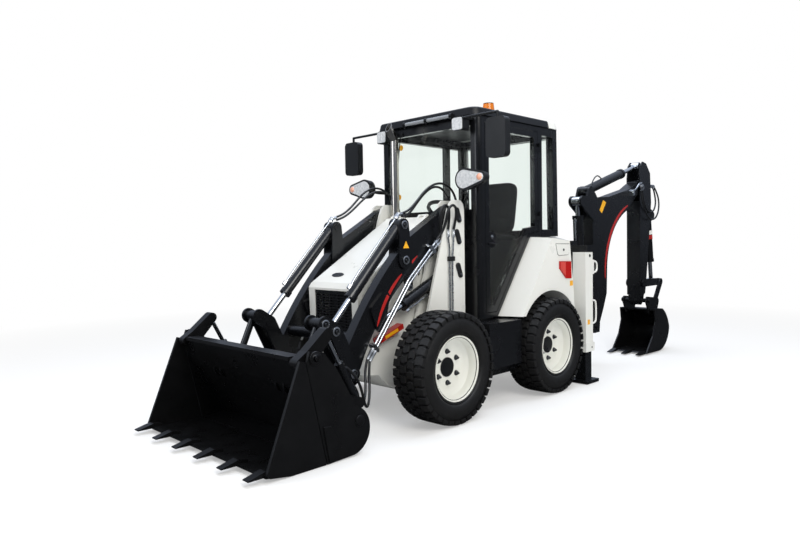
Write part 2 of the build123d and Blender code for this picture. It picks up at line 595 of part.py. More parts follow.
with BuildPart() as cab_roof:
    add(roof_form.part)
    block(CAB_REAR - 200, ROOF_SEAM, -800, 800, CAB_TOP - 10, CAB_TOP + ROOF_HEIGHT + 10, mode=Mode.SUBTRACT)
save(cab_roof, "cab_roof")

with BuildPart() as roof_rear:
    add(roof_form.part)
    block(ROOF_SEAM - GLASS_GAP, ROOF_FRONT + 50, -800, 800, CAB_TOP - 10, CAB_TOP + ROOF_HEIGHT + 10, mode=Mode.SUBTRACT)
    block(CAB_REAR - ROOF_OVERHANG, CAB_REAR - 4, -CAB_HALF_WIDTH + 60, CAB_HALF_WIDTH - 60, CAB_TOP - 70, CAB_TOP + 8)
save(roof_rear, "roof_rear")

# Rear body: fenders that taper outwards over the rear wheels, joined by the rear panel
with BuildPart() as rear_body:
    with BuildSketch(side(TUB_HALF_WIDTH)) as fender_root:
        with BuildLine():
            Polyline((CAB_SILL_REAR - 12, CAB_BOTTOM), (CAB_KICK_X - 10, CAB_DECK - 2), (CAB_REAR - 20, CAB_DECK - 2),
                     (CAB_REAR - 45, 700), (CAB_REAR - 45, CAB_BOTTOM), close=True)
        make_face()
    with BuildSketch(side(FENDER_Y)) as fender_face:
        with BuildLine():
            Polyline((CAB_SILL_REAR - 95, CAB_BOTTOM), (CAB_KICK_X - 55, CAB_DECK - 15), (CAB_REAR + 92, CAB_DECK - 42),
                     (CAB_REAR + 30, 800), (CAB_REAR + 20, CAB_BOTTOM), close=True)
        make_face()
    loft([fender_root.sketch.face(), fender_face.sketch.face()])
    pin((-WHEELBASE, TYRE_RADIUS), FENDER_Y - 100, 500, ARCH_RADIUS, mode=Mode.SUBTRACT)
    mirror(about=Plane.XZ)
    block(CAB_REAR - 45, CAB_REAR - 5, -TUB_HALF_WIDTH - 5, TUB_HALF_WIDTH + 5, CAB_BOTTOM + 20, CAB_DECK - 2)
save(rear_body, "rear_body")

# Step and tank boxes between the wheels
with BuildPart() as step_boxes:
    block(STEP_REAR, STEP_FRONT, CHASSIS_HALF_WIDTH, STEP_Y, STEP_BOTTOM, STEP_TOP)
    block(STEP_REAR - 1, STEP_FRONT + 1, 0, TUB_HALF_WIDTH + 2, TUB_BOTTOM - 2, STEP_TOP + 1, mode=Mode.SUBTRACT)
    block(TOWER_REAR - 2, STEP_FRONT + 1, 0, tower_outer + TOWER_PLATE / 2 + 2, CHASSIS_TOP - 62, STEP_TOP,
          mode=Mode.SUBTRACT)
    outer_low = step_boxes.edges().filter_by(Axis.X).sort_by(Axis.Y)[-2:].sort_by(Axis.Z)[0]
    chamfer(outer_low, 70)
    mirror(about=Plane.XZ)
save(step_boxes, "step_boxes")

# Side-shift frame: two rails on webs behind the chassis
column_rear = COLUMN_FRONT - COLUMN_SIZE
column_inner = COLUMN_OUTER_Y - COLUMN_SIZE
with BuildPart() as rear_frame:
    block(RAIL_REAR, COLUMN_FRONT - 20, -COLUMN_OUTER_Y - 5, COLUMN_OUTER_Y + 5, COLUMN_TOP, COLUMN_TOP + RAIL_HEIGHT)
    block(RAIL_REAR, COLUMN_FRONT, -column_inner, column_inner, LOWER_RAIL_Z, LOWER_RAIL_Z + LOWER_RAIL_HEIGHT)
    for web_y in (-250, 250):
        block(column_rear, chassis_rear, web_y - 20, web_y + 20, LOWER_RAIL_Z, COLUMN_TOP)
save(rear_frame, "rear_frame")

# Stabilizer columns: square tubes on the frame's ends, with a collar and a lifting eye
with BuildPart() as stabilizer_columns:
    column_y = COLUMN_OUTER_Y - COLUMN_SIZE / 2
    column_x = COLUMN_FRONT - COLUMN_SIZE / 2
    with BuildSketch(level(COLUMN_BOTTOM)) as column_section:
        with Locations((column_x, column_y)):
            Rectangle(COLUMN_SIZE, COLUMN_SIZE)
            Rectangle(COLUMN_SIZE - 2 * COLUMN_WALL, COLUMN_SIZE - 2 * COLUMN_WALL, mode=Mode.SUBTRACT)
    extrude(column_section.sketch, amount=COLUMN_TOP - COLUMN_BOTTOM)
    with BuildSketch(level(COLUMN_BOTTOM)) as collar_section:
        with Locations((column_x, column_y)):
            Rectangle(COLUMN_SIZE + 20, COLUMN_SIZE + 20)
            Rectangle(COLUMN_SIZE - 2 * COLUMN_WALL, COLUMN_SIZE - 2 * COLUMN_WALL, mode=Mode.SUBTRACT)
    extrude(collar_section.sketch, amount=75)
    eye = (column_rear - LIFTING_EYE_REACH, LIFTING_EYE_Z)
    strap([eye, (column_rear, LIFTING_EYE_Z - 14), (column_rear, LIFTING_EYE_Z + 14)], [32, 1, 1], column_y,
          LIFTING_EYE_PLATE)
    block(column_rear - 2, column_rear, column_y - LIFTING_EYE_PLATE / 2, column_y + LIFTING_EYE_PLATE / 2,
          LIFTING_EYE_Z - 15, LIFTING_EYE_Z + 15)
    pin(eye, column_y, LIFTING_EYE_PLATE, LIFTING_EYE_RADIUS, mode=Mode.SUBTRACT)
    mirror(about=Plane.XZ)
save(stabilizer_columns, "stabilizer_columns")

# Stabilizer legs: square legs that slide in the columns, on flat pads
for hand, sign in (("left", 1), ("right", -1)):
    with BuildPart() as leg:
        leg_size = COLUMN_SIZE - 2 * COLUMN_WALL - 2 * LEG_GAP
        leg_y = sign * column_y
        block(column_x - leg_size / 2, column_x + leg_size / 2, leg_y - leg_size / 2, leg_y + leg_size / 2,
              PAD_BOTTOM + PAD_THICKNESS, PAD_BOTTOM + PAD_THICKNESS + LEG_LENGTH)
        block(column_x - PAD_LENGTH / 2, column_x + PAD_LENGTH / 2, leg_y - PAD_WIDTH / 2, leg_y + PAD_WIDTH / 2,
              PAD_BOTTOM, PAD_BOTTOM + PAD_THICKNESS)
    save(leg, f"stabilizer_{hand}")

# Loader arms: bent box arms with knee brackets, rod lugs and a cross tube
with BuildPart() as loader_arms:
    with BuildSketch(side(ARM_PLANE_Y)) as arm_outline:
        heel = ARM_PIVOT[0]
        with BuildLine():
            Polyline((heel - 15, 1535), (-323, 1511), (73, 1288), (205, 1168))
            ThreePointArc((205, 1168), (462, 880), (676, 555))
            Polyline((676, 555), (745, 415), (885, 235))
            ThreePointArc((885, 235), (868, 160), (800, 146))
            Polyline((800, 146), (640, 330), (560, 430))
            ThreePointArc((560, 430), (384, 730), (150, 980))
            Polyline((150, 980), (20, 1045), (-215, 1182), (heel - 45, 1425))
            ThreePointArc((heel - 45, 1425), (heel - 60, 1485), (heel - 15, 1535))
        make_face()
    extrude(arm_outline.sketch, amount=ARM_THICKNESS / 2, both=True)
    pin(ARM_PIVOT, ARM_PLANE_Y, ARM_THICKNESS, PIN_RADIUS + RUNNING_GAP, mode=Mode.SUBTRACT)
    for hand in (-1, 1):
        bracket_y = ARM_PLANE_Y + hand * (ARM_THICKNESS + BRACKET_PLATE) / 2
        strap([KNEE_PIN, KNEE_FOOT], [46, 62], bracket_y, BRACKET_PLATE)
        strap([LIFT_EYE, (430, 800), (340, 880)], [42, 40, 40], bracket_y, BRACKET_PLATE)
        strap([BUCKET_PIVOT, (760, 300)], [60, 40], bracket_y, BRACKET_PLATE)
    pin(KNEE_PIN, ARM_PLANE_Y, ARM_THICKNESS + 2 * BRACKET_PLATE + 8, PIN_RADIUS)
    pin(KNEE_FOOT, ARM_PLANE_Y, ARM_THICKNESS + 2 * BRACKET_PLATE + 8, PIN_RADIUS + 6)
    pin(LIFT_EYE, ARM_PLANE_Y, ARM_THICKNESS, 46, mode=Mode.SUBTRACT)
    pin(LEVER_PIVOT, ARM_PLANE_Y, ARM_THICKNESS + 2 * BRACKET_PLATE + 12, PIN_RADIUS)
    pin(BUCKET_PIVOT, ARM_PLANE_Y, ARM_THICKNESS + 2 * BRACKET_PLATE, PIN_RADIUS + RUNNING_GAP, mode=Mode.SUBTRACT)
    mirror(about=Plane.XZ)
    pin(CROSS_TUBE, 0, 2 * ARM_PLANE_Y - ARM_THICKNESS, CROSS_TUBE_RADIUS)
save(loader_arms, "loader_arms")

# Arm pipes: two steel lines in clamps on each arm's outer face
with BuildPart() as arm_pipes:
    pipe_y = ARM_PLANE_Y + ARM_THICKNESS / 2 + BRACKET_PLATE + PIPE_RADIUS + 3
    for shift in (-PIPE_SPACING / 2, PIPE_SPACING / 2):
        upper = (-167 + shift * 0.66, 1235 + shift * 0.75)
        bend = (121 + shift * 0.72, 977 + shift * 0.69)
        lower = (473 + shift * 0.79, 530 + shift * 0.62)
        bar(upper, bend, pipe_y, PIPE_RADIUS, 0, distance(upper, bend))
        bar(bend, lower, pipe_y, PIPE_RADIUS, 0, distance(bend, lower))
        with Locations((FRONT_AXLE_X + bend[0], pipe_y, bend[1])):
            Sphere(PIPE_RADIUS)
    arm_face = ARM_PLANE_Y + ARM_THICKNESS / 2
    for clamp in ((-120, 1193), (455, 553)):
        strap([(clamp[0] - 16, clamp[1] - 16), (clamp[0] + 16, clamp[1] + 16)], [14, 14], (arm_face + pipe_y + 12) / 2,
              pipe_y + 12 - arm_face)
    mirror(about=Plane.XZ)
save(arm_pipes, "arm_pipes")

# Lift cylinders between the tower plates and the arms
lift_length = 0.68 * distance(LIFT_BASE, LIFT_EYE)
with BuildPart() as lift_barrels:
    barrel(LIFT_BASE, LIFT_EYE, ARM_PLANE_Y, LIFT_BARREL_RADIUS, 2 * LIFT_BARREL_RADIUS, lift_length)
    rod_bore(LIFT_BASE, LIFT_EYE, ARM_PLANE_Y, LIFT_ROD_RADIUS, lift_length, lift_length - 70)
    mirror(about=Plane.XZ)
save(lift_barrels, "lift_barrels")

with BuildPart() as lift_rods:
    rod(LIFT_BASE, LIFT_EYE, ARM_PLANE_Y, LIFT_ROD_RADIUS, 80, 60, 38)
    mirror(about=Plane.XZ)
save(lift_rods, "lift_rods")

# Tilt levers: two plates each side of the arm's end
lever_y = ARM_THICKNESS / 2 + BRACKET_PLATE + 4 + LEVER_PLATE / 2
with BuildPart() as tilt_levers:
    for hand in (-1, 1):
        strap([LEVER_PIVOT, LEVER_ROD_PIN], [52, 50], ARM_PLANE_Y + hand * lever_y, LEVER_PLATE)
        strap([LEVER_ROD_PIN, LEVER_LINK_PIN], [50, 50], ARM_PLANE_Y + hand * lever_y, LEVER_PLATE)
        pin(LEVER_PIVOT, ARM_PLANE_Y + hand * lever_y, LEVER_PLATE, PIN_RADIUS + RUNNING_GAP, mode=Mode.SUBTRACT)
        for boss in (LEVER_PIVOT, LEVER_ROD_PIN, LEVER_LINK_PIN):
            pin(boss, ARM_PLANE_Y + hand * (lever_y + LEVER_PLATE / 2 + 2), 4, PIN_RADIUS + 8)
    pin(LEVER_LINK_PIN, ARM_PLANE_Y, 2 * lever_y, PIN_RADIUS)
    mirror(about=Plane.XZ)
save(tilt_levers, "tilt_levers")

# Tilt links from the levers down to the bucket's back
with BuildPart() as tilt_links:
    bar(LEVER_LINK_PIN, BUCKET_LINK_PIN, ARM_PLANE_Y, 23, 20, distance(LEVER_LINK_PIN, BUCKET_LINK_PIN) - 20)
    pin(LEVER_LINK_PIN, ARM_PLANE_Y, LINK_EYE_WIDTH, 36)
    pin(BUCKET_LINK_PIN, ARM_PLANE_Y, 60, 42)
    pin(LEVER_LINK_PIN, ARM_PLANE_Y, LINK_EYE_WIDTH, PIN_RADIUS + RUNNING_GAP, mode=Mode.SUBTRACT)
    mirror(about=Plane.XZ)
save(tilt_links, "tilt_links")

# Tilt cylinders from the knee brackets to the levers
tilt_length = 0.72 * distance(KNEE_PIN, LEVER_ROD_PIN)
with BuildPart() as tilt_barrels:
    barrel(KNEE_PIN, LEVER_ROD_PIN, ARM_PLANE_Y, TILT_BARREL_RADIUS, 2 * TILT_BARREL_RADIUS, tilt_length)
    rod_bore(KNEE_PIN, LEVER_ROD_PIN, ARM_PLANE_Y, TILT_ROD_RADIUS, tilt_length, tilt_length - 70)
    mirror(about=Plane.XZ)
save(tilt_barrels, "tilt_barrels")

with BuildPart() as tilt_rods:
    rod(KNEE_PIN, LEVER_ROD_PIN, ARM_PLANE_Y, TILT_ROD_RADIUS, 230, 100, 32)
    mirror(about=Plane.XZ)
save(tilt_rods, "tilt_rods")

# Bucket shell: the curved moldboard with its rear side plates, hinge ears and link ears
side_y = BUCKET_HALF_WIDTH - BUCKET_SIDE / 2
seam_top = (1232.0, 590.0)
seam_foot = (1100.0, BUCKET_FLOOR_Z)
with BuildPart() as bucket_shell:
    with BuildSketch(side(side_y)) as shell_side:
        with BuildLine():
            Polyline((JAW_PIVOT[0] + 35, JAW_PIVOT[1] + 40), seam_top, seam_foot, (900, 12))
            ThreePointArc((900, 12), (776, 145), (880, 296))
            Polyline((880, 296), (1018, 532), (1112, 640), (JAW_PIVOT[0] + 35, JAW_PIVOT[1] + 40))
        make_face()
    extrude(shell_side.sketch, amount=BUCKET_SIDE / 2, both=True)
    mirror(about=Plane.XZ)
    moldboard = [(1240, 612), (1150, 430), (1010, 190), (930, 70), (900, 12), (1096, BUCKET_FLOOR_Z),
                 (1094, BUCKET_FLOOR_Z + BUCKET_SHEET), (925, 40), (955, 85), (1030, 210), (1170, 430), (1262, 612)]
    plate(moldboard, 0, 2 * (BUCKET_HALF_WIDTH - BUCKET_SIDE))
    block(1175, 1264, -600, 600, 600, 622)
    lever_space = JAW_LEVER_WIDTH / 2 + 8
    for hand in (-1, 1):
        space_y = sorted((hand * (JAW_LEVER_Y - lever_space), hand * (BUCKET_HALF_WIDTH - BUCKET_SIDE)))
        block(1000, 1300, *space_y, 490, 700, mode=Mode.SUBTRACT)
        pin(JAW_PIVOT, hand * (side_y - 40), BUCKET_SIDE + 80, PIN_RADIUS)
        for ear in (-1, 1):
            ear_y = hand * ARM_PLANE_Y + ear * (ARM_THICKNESS / 2 + BRACKET_PLATE + 4 + BUCKET_SHEET / 2)
            strap([BUCKET_PIVOT, (965, 215)], [50, 60], ear_y, BUCKET_SHEET)
        for ear in (-1, 1):
            ear_y = hand * ARM_PLANE_Y + ear * (30 + 4 + BUCKET_SHEET / 2)
            strap([BUCKET_LINK_PIN, (1110, 420)], [40, 60], ear_y, BUCKET_SHEET)
        pin(BUCKET_PIVOT, hand * ARM_PLANE_Y, ARM_THICKNESS + 2 * BRACKET_PLATE + 2 * BUCKET_SHEET + 8, PIN_RADIUS)
        for ear in (-1, 1):
            ear_y = hand * JAW_LEVER_Y + ear * (CLAM_BARREL_RADIUS + 8)
            strap([CLAM_BASE, (1040, 330)], [32, 75], ear_y, 10)
        pin(CLAM_BASE, hand * JAW_LEVER_Y, 2 * CLAM_BARREL_RADIUS + 20, PIN_RADIUS - 8)
save(bucket_shell, "bucket_shell")

# Bucket jaw: floor, front side plates, cutting edge with teeth and its two hinge levers
with BuildPart() as bucket_jaw:
    jaw_points = [(seam_top[0] + SEAM_GAP, seam_top[1] + 12), (1275, 612), (BUCKET_EDGE_X, 44),
                  (BUCKET_EDGE_X - 20, BUCKET_FLOOR_Z + 20), (1350, BUCKET_FLOOR_Z), (seam_foot[0] + SEAM_GAP, BUCKET_FLOOR_Z)]
    plate(jaw_points, side_y, BUCKET_SIDE)
    lever_points = [JAW_ROD_PIN, JAW_PIVOT, (1245, 590)]
    strap(lever_points[:2], [34, 46], JAW_LEVER_Y, JAW_LEVER_WIDTH)
    strap(lever_points[1:], [46, 30], JAW_LEVER_Y, JAW_LEVER_WIDTH)
    block(1246, 1270, JAW_LEVER_Y, BUCKET_HALF_WIDTH - 2, 566, 604)
    pin(JAW_PIVOT, JAW_LEVER_Y, JAW_LEVER_WIDTH, PIN_RADIUS + RUNNING_GAP, mode=Mode.SUBTRACT)
    mirror(about=Plane.XZ)
    floor_points = [(seam_foot[0] + SEAM_GAP, BUCKET_FLOOR_Z), (1350, BUCKET_FLOOR_Z), (BUCKET_EDGE_X, 26),
                    (BUCKET_EDGE_X, 44), (1350, BUCKET_FLOOR_Z + BUCKET_SHEET + 4),
                    (seam_foot[0] + SEAM_GAP, BUCKET_FLOOR_Z + BUCKET_SHEET)]
    plate(floor_points, 0, 2 * (BUCKET_HALF_WIDTH - BUCKET_SIDE / 2))
    tooth_points = [(BUCKET_EDGE_X - 70, 30), (TOOTH_TIP_X, 30), (TOOTH_TIP_X, 36), (BUCKET_EDGE_X - 10, 62), (BUCKET_EDGE_X - 70, 50)]
    for index in range(TOOTH_COUNT):
        tooth_y = TOOTH_SPAN * (index / (TOOTH_COUNT - 1) - 0.5)
        plate(tooth_points, tooth_y, TOOTH_WIDTH)
save(bucket_jaw, "bucket_jaw")

# Clam cylinders behind the moldboard
clam_length = 285.0
with BuildPart() as clam_barrels:
    bar(CLAM_BASE, JAW_ROD_PIN, JAW_LEVER_Y, CLAM_BARREL_RADIUS, 20, clam_length)
    pin(CLAM_BASE, JAW_LEVER_Y, 2 * CLAM_BARREL_RADIUS, 28)
    pin(CLAM_BASE, JAW_LEVER_Y, 2 * CLAM_BARREL_RADIUS, PIN_RADIUS - 8 + RUNNING_GAP, mode=Mode.SUBTRACT)
    rod_bore(CLAM_BASE, JAW_ROD_PIN, JAW_LEVER_Y, CLAM_ROD_RADIUS, clam_length, clam_length - 40)
    mirror(about=Plane.XZ)
save(clam_barrels, "clam_barrels")

with BuildPart() as clam_rods:
    bar(CLAM_BASE, JAW_ROD_PIN, JAW_LEVER_Y, CLAM_ROD_RADIUS, 210, distance(CLAM_BASE, JAW_ROD_PIN) - 48)
    mirror(about=Plane.XZ)
save(clam_rods, "clam_rods")

# Side-shift carriage: a plate that hooks over both rails and carries the swing knuckles
carriage_front = RAIL_REAR - CARRIAGE_GAP
with BuildPart() as carriage:
    low = LOWER_RAIL_Z - 40
    high = COLUMN_TOP + RAIL_HEIGHT + 40
    block(carriage_front - CARRIAGE_PLATE, carriage_front, HOE_Y - CARRIAGE_HALF_WIDTH, HOE_Y + CARRIAGE_HALF_WIDTH, low, high)
    block(carriage_front, RAIL_REAR + 60, HOE_Y - CARRIAGE_HALF_WIDTH, HOE_Y + CARRIAGE_HALF_WIDTH,
          COLUMN_TOP + RAIL_HEIGHT + RUNNING_GAP, high)
    block(carriage_front, RAIL_REAR + 60, HOE_Y - CARRIAGE_HALF_WIDTH, HOE_Y + CARRIAGE_HALF_WIDTH,
          low, LOWER_RAIL_Z - RUNNING_GAP)
    for knuckle_low, knuckle_high in ((340, 420), (900, 980)):
        with BuildSketch(level(knuckle_low)) as knuckle:
            with Locations((SWING_AXIS_X, HOE_Y)):
                Circle(KNUCKLE_RADIUS)
            with Locations((carriage_front - CARRIAGE_PLATE, HOE_Y - 90), (carriage_front - CARRIAGE_PLATE, HOE_Y + 90)):
                Circle(4)
            make_hull()
        extrude(knuckle.sketch, amount=knuckle_high - knuckle_low)
    with Locations((FRONT_AXLE_X + SWING_AXIS_X, HOE_Y, 660)):
        Cylinder(35 + RUNNING_GAP, 800, mode=Mode.SUBTRACT)
save(carriage, "carriage")

# Swing post: turns on the carriage's knuckles and carries boom foot and boom cylinder
with BuildPart() as swing_post:
    with Locations((FRONT_AXLE_X + SWING_AXIS_X, HOE_Y, 660)):
        Cylinder(35, 640)
        Cylinder(KNUCKLE_RADIUS - 5, 470)
    post_plate_y = BOOM_HALF_WIDTH + 4 + HOE_PLATE / 2
    for hand in (-1, 1):
        plate([(SWING_AXIS_X - 20, 440), (SWING_AXIS_X - 20, 880), (BOOM_BASE[0] - 40, 700), (BOOM_FOOT[0] - 55, 420),
               (BOOM_FOOT[0] - 45, 330), (BOOM_FOOT[0] + 60, 330), (BOOM_FOOT[0] + 190, 440)],
              HOE_Y + hand * post_plate_y, HOE_PLATE)
    pin(BOOM_FOOT, HOE_Y, 2 * (post_plate_y + HOE_PLATE / 2) + 20, PIN_RADIUS + 5)
    pin(BOOM_BASE, HOE_Y, 2 * (post_plate_y + HOE_PLATE / 2) + 20, PIN_RADIUS)
save(swing_post, "swing_post")

# Boom: a box with a concave rear edge, a cylinder bracket ahead of its elbow and a narrow tip
with BuildPart() as boom:
    with BuildSketch(side(HOE_Y)) as boom_outline:
        with BuildLine():
            Polyline((BOOM_FOOT[0] + 60, 360), (-2462, 720), (-2462, 1560), (-2440, 1650), (-2780, 1668), (-3246, 1768),
                     (-3430, 1850))
            ThreePointArc((-3430, 1850), (-3565, 1800), (-3440, 1730))
            Line((-3440, 1730), (-3180, 1540))
            ThreePointArc((-3180, 1540), (-2874, 1317), (-2745, 930))
            Polyline((-2745, 930), (-2735, 700), (-2670, 560), (BOOM_FOOT[0] - 60, 360))
            ThreePointArc((BOOM_FOOT[0] - 60, 360), (BOOM_FOOT[0], 322), (BOOM_FOOT[0] + 60, 360))
        make_face()
    extrude(boom_outline.sketch, amount=BOOM_HALF_WIDTH, both=True)
    for hand in (-1, 1):
        strap([BOOM_ROD_PIN, (-2490, 1600), (-2490, 1460)], [52, 50, 40], HOE_Y + hand * (BOOM_HALF_WIDTH - 4), 20)
        strap([DIPPER_BASE, (-2500, 1640), (-2380, 1620)], [46, 40, 40], HOE_Y + hand * (BOOM_HALF_WIDTH - 4), 20)
    pin(DIPPER_BASE, HOE_Y, 2 * BOOM_HALF_WIDTH, PIN_RADIUS)
    pin(BOOM_FOOT, HOE_Y, 2 * BOOM_HALF_WIDTH, PIN_RADIUS + 5 + RUNNING_GAP, mode=Mode.SUBTRACT)
    pin(DIPPER_PIVOT, HOE_Y, 2 * BOOM_HALF_WIDTH, PIN_RADIUS + 5 + RUNNING_GAP, mode=Mode.SUBTRACT)
save(boom, "boom")

boom_length = 0.86 * distance(BOOM_BASE, BOOM_ROD_PIN)
with BuildPart() as boom_barrel:
    barrel(BOOM_BASE, BOOM_ROD_PIN, HOE_Y, BOOM_BARREL_RADIUS, 2 * BOOM_HALF_WIDTH, boom_length)
    rod_bore(BOOM_BASE, BOOM_ROD_PIN, HOE_Y, HOE_ROD_RADIUS, boom_length, boom_length - 80)
save(boom_barrel, "boom_barrel")

with BuildPart() as boom_rod:
    rod(BOOM_BASE, BOOM_ROD_PIN, HOE_Y, HOE_ROD_RADIUS, 420, 80, 44)
save(boom_rod, "boom_rod")

# Dipper: a tapered box that straddles the boom's tip, with lugs for both of its cylinders
dipper_foot = (HOE_BUCKET_PIVOT[0], HOE_BUCKET_PIVOT[1])
with BuildPart() as dipper:
    plate([(-3450, 1640), (-3445, 1900), (-3470, 2030), (-3520, 2075), (-3600, 2060), (-3700, 1960), (-3725, 1640),
           (-3600, 760), (dipper_foot[0] - 48, 560), (dipper_foot[0], 520), (dipper_foot[0] + 52, 560), (-3452, 760)],
          HOE_Y, 2 * DIPPER_HALF_WIDTH)
    plate([(-3400, 1650), (-3400, 2120), (-3640, 2120), (-3640, 1650)], HOE_Y, 2 * BOOM_HALF_WIDTH + 4, mode=Mode.SUBTRACT)
    for hand in (-1, 1):
        strap([HOE_CYLINDER_BASE, (-3680, 1560), (-3680, 1440)], [40, 36, 36], HOE_Y + hand * 56, 20)
        block(-3760, -3550, HOE_Y + hand * 69 - 7, HOE_Y + hand * 69 + 7, 520, 640, mode=Mode.SUBTRACT)
        block(-3560, -3400, HOE_Y + hand * 69 - 7, HOE_Y + hand * 69 + 7, 480, 630, mode=Mode.SUBTRACT)
    pin(DIPPER_PIVOT, HOE_Y, 2 * DIPPER_HALF_WIDTH + 16, PIN_RADIUS + 5)
    pin(ROCKER_PIVOT, HOE_Y, 2 * DIPPER_HALF_WIDTH + 50, PIN_RADIUS)
    pin(HOE_CYLINDER_BASE, HOE_Y, 132, PIN_RADIUS)
    pin(HOE_BUCKET_PIVOT, HOE_Y, 2 * DIPPER_HALF_WIDTH, PIN_RADIUS + RUNNING_GAP, mode=Mode.SUBTRACT)
save(dipper, "dipper")

dipper_length = 0.68 * distance(DIPPER_BASE, DIPPER_ROD_PIN)
with BuildPart() as dipper_barrel:
    barrel(DIPPER_BASE, DIPPER_ROD_PIN, HOE_Y, DIPPER_BARREL_RADIUS, 88, dipper_length)
    rod_bore(DIPPER_BASE, DIPPER_ROD_PIN, HOE_Y, HOE_ROD_RADIUS, dipper_length, dipper_length - 80)
save(dipper_barrel, "dipper_barrel")

with BuildPart() as dipper_rod:
    rod(DIPPER_BASE, DIPPER_ROD_PIN, HOE_Y, HOE_ROD_RADIUS, 440, 80, 40)
save(dipper_rod, "dipper_rod")

# Bucket cylinder, rocker and tipping link behind the dipper
hoe_length = 0.70 * distance(HOE_CYLINDER_BASE, ROCKER_PIN)
with BuildPart() as hoe_barrel:
    barrel(HOE_CYLINDER_BASE, ROCKER_PIN, HOE_Y, HOE_BARREL_RADIUS, 88, hoe_length)
    rod_bore(HOE_CYLINDER_BASE, ROCKER_PIN, HOE_Y, HOE_ROD_RADIUS, hoe_length, hoe_length - 70)
save(hoe_barrel, "hoe_barrel")

with BuildPart() as hoe_rod:
    rod(HOE_CYLINDER_BASE, ROCKER_PIN, HOE_Y, HOE_ROD_RADIUS, 250, 76, 36)
save(hoe_rod, "hoe_rod")

rocker_y = DIPPER_HALF_WIDTH + 4 + HOE_PLATE / 2
with BuildPart() as hoe_rocker:
    for hand in (-1, 1):
        strap([ROCKER_PIVOT, ROCKER_PIN], [42, 38], HOE_Y + hand * rocker_y, HOE_PLATE)
        pin(ROCKER_PIVOT, HOE_Y + hand * rocker_y, HOE_PLATE, PIN_RADIUS + RUNNING_GAP, mode=Mode.SUBTRACT)
    for hand in (-1, 1):
        pin(ROCKER_PIN, HOE_Y + hand * (rocker_y - 2), 68, PIN_RADIUS)
save(hoe_rocker, "hoe_rocker")

with BuildPart() as hoe_link:
    link_y = rocker_y + HOE_PLATE + 3
    for hand in (-1, 1):
        strap([ROCKER_PIN, HOE_LINK_PIN], [36, 36], HOE_Y + hand * link_y, HOE_PLATE)
        pin(ROCKER_PIN, HOE_Y + hand * link_y, HOE_PLATE, PIN_RADIUS + RUNNING_GAP, mode=Mode.SUBTRACT)
save(hoe_link, "hoe_link")

# Digging bucket: bent sheet between two sides, with ears, a lip and three teeth
with BuildPart() as hoe_bucket:
    with BuildSketch(side(HOE_Y)) as bucket_outline:
        with BuildLine():
            Polyline((-3530, 478), (-3552, 340), (-3490, 190), (-3330, 18), (-3640, 14))
            ThreePointArc((-3640, 14), (-3828.6, 92.2), (-3905, 250))
            ThreePointArc((-3905, 250), (-3850, 370), (-3730, 470))
            Line((-3730, 470), (-3530, 478))
        make_face()
    extrude(bucket_outline.sketch, amount=HOE_BUCKET_HALF_WIDTH, both=True)
    with BuildSketch(side(HOE_Y)) as bucket_hollow:
        with BuildLine():
            Polyline((-3480, 462), (-3300, 462), (-3250, 32), (-3640, 30))
            ThreePointArc((-3640, 30), (-3817, 103), (-3889, 250))
            ThreePointArc((-3889, 250), (-3836, 356), (-3724, 455))
            Line((-3724, 455), (-3480, 462))
        make_face()
    extrude(bucket_hollow.sketch, amount=HOE_BUCKET_HALF_WIDTH - HOE_SHEET, both=True, mode=Mode.SUBTRACT)
    ear_y = DIPPER_HALF_WIDTH + 3 - 14 + HOE_PLATE / 2 - 4
    for hand in (-1, 1):
        strap([HOE_BUCKET_PIVOT, HOE_LINK_PIN, (-3700, 450), (-3560, 450)], [42, 38, 30, 30], HOE_Y + hand * (link_y + HOE_PLATE + 3), HOE_PLATE)
        pin(HOE_BUCKET_PIVOT, HOE_Y + hand * (link_y / 2 + 40), link_y + 20, PIN_RADIUS)
    pin(HOE_BUCKET_PIVOT, HOE_Y, 2 * link_y, PIN_RADIUS)
    for index in (-1, 0, 1):
        plate([(-3420, 14), (HOE_TOOTH_TIP_X, 14), (HOE_TOOTH_TIP_X, 20), (-3330, 46), (-3420, 40)],
              HOE_Y + index * 160, HOE_TOOTH_WIDTH)
save(hoe_bucket, "hoe_bucket")

# Cab inside: seat, its pedestal, floor console and steering column
with BuildPart() as operator_seat:
    block(-1440, -1000, -240, 240, 1190, 1310)
    plate([(-1440, 1310), (-1330, 1310), (-1420, 1760), (-1500, 1760)], 0, 460)
save(operator_seat, "operator_seat")

with BuildPart() as cab_controls:
    tub_floor = TUB_BOTTOM + TUB_WALL
    block(-1400, -1060, -190, 190, tub_floor, 1189.7)
    block(-640, -610, -60, 60, tub_floor, 1350)
    with BuildSketch(Plane((FRONT_AXLE_X - 790, 0, 1480), x_dir=(0, 1, 0), z_dir=(-0.55, 0, 1))) as steering:
        Circle(185)
        Circle(160, mode=Mode.SUBTRACT)
        Rectangle(330, 30)
        Circle(40)
    extrude(steering.sketch, amount=22)
    bar((-625, 1300), (-790, 1480), 0, 24, 0, distance((-625, 1300), (-790, 1480)) + 6)
    block(-1330, -900, 280, 360, tub_floor, 1250)
    block(-1330, -900, -360, -280, tub_floor, 1250)
save(cab_controls, "cab_controls")

# Lamp housings, mirrors and their tubes on the cab
def tube(points, radius):
    """Round tube through a row of points, with a ball at each bend."""
    for start, end in zip(points[:-1], points[1:]):
        reach = tuple(b - a for a, b in zip(start, end))
        with BuildSketch(Plane((FRONT_AXLE_X + start[0], start[1], start[2]), z_dir=reach)) as section:
            Circle(radius)
        extrude(section.sketch, amount=sqrt(sum(step * step for step in reach)))
    for point in points[1:-1]:
        with Locations((FRONT_AXLE_X + point[0], point[1], point[2])):
            Sphere(radius)


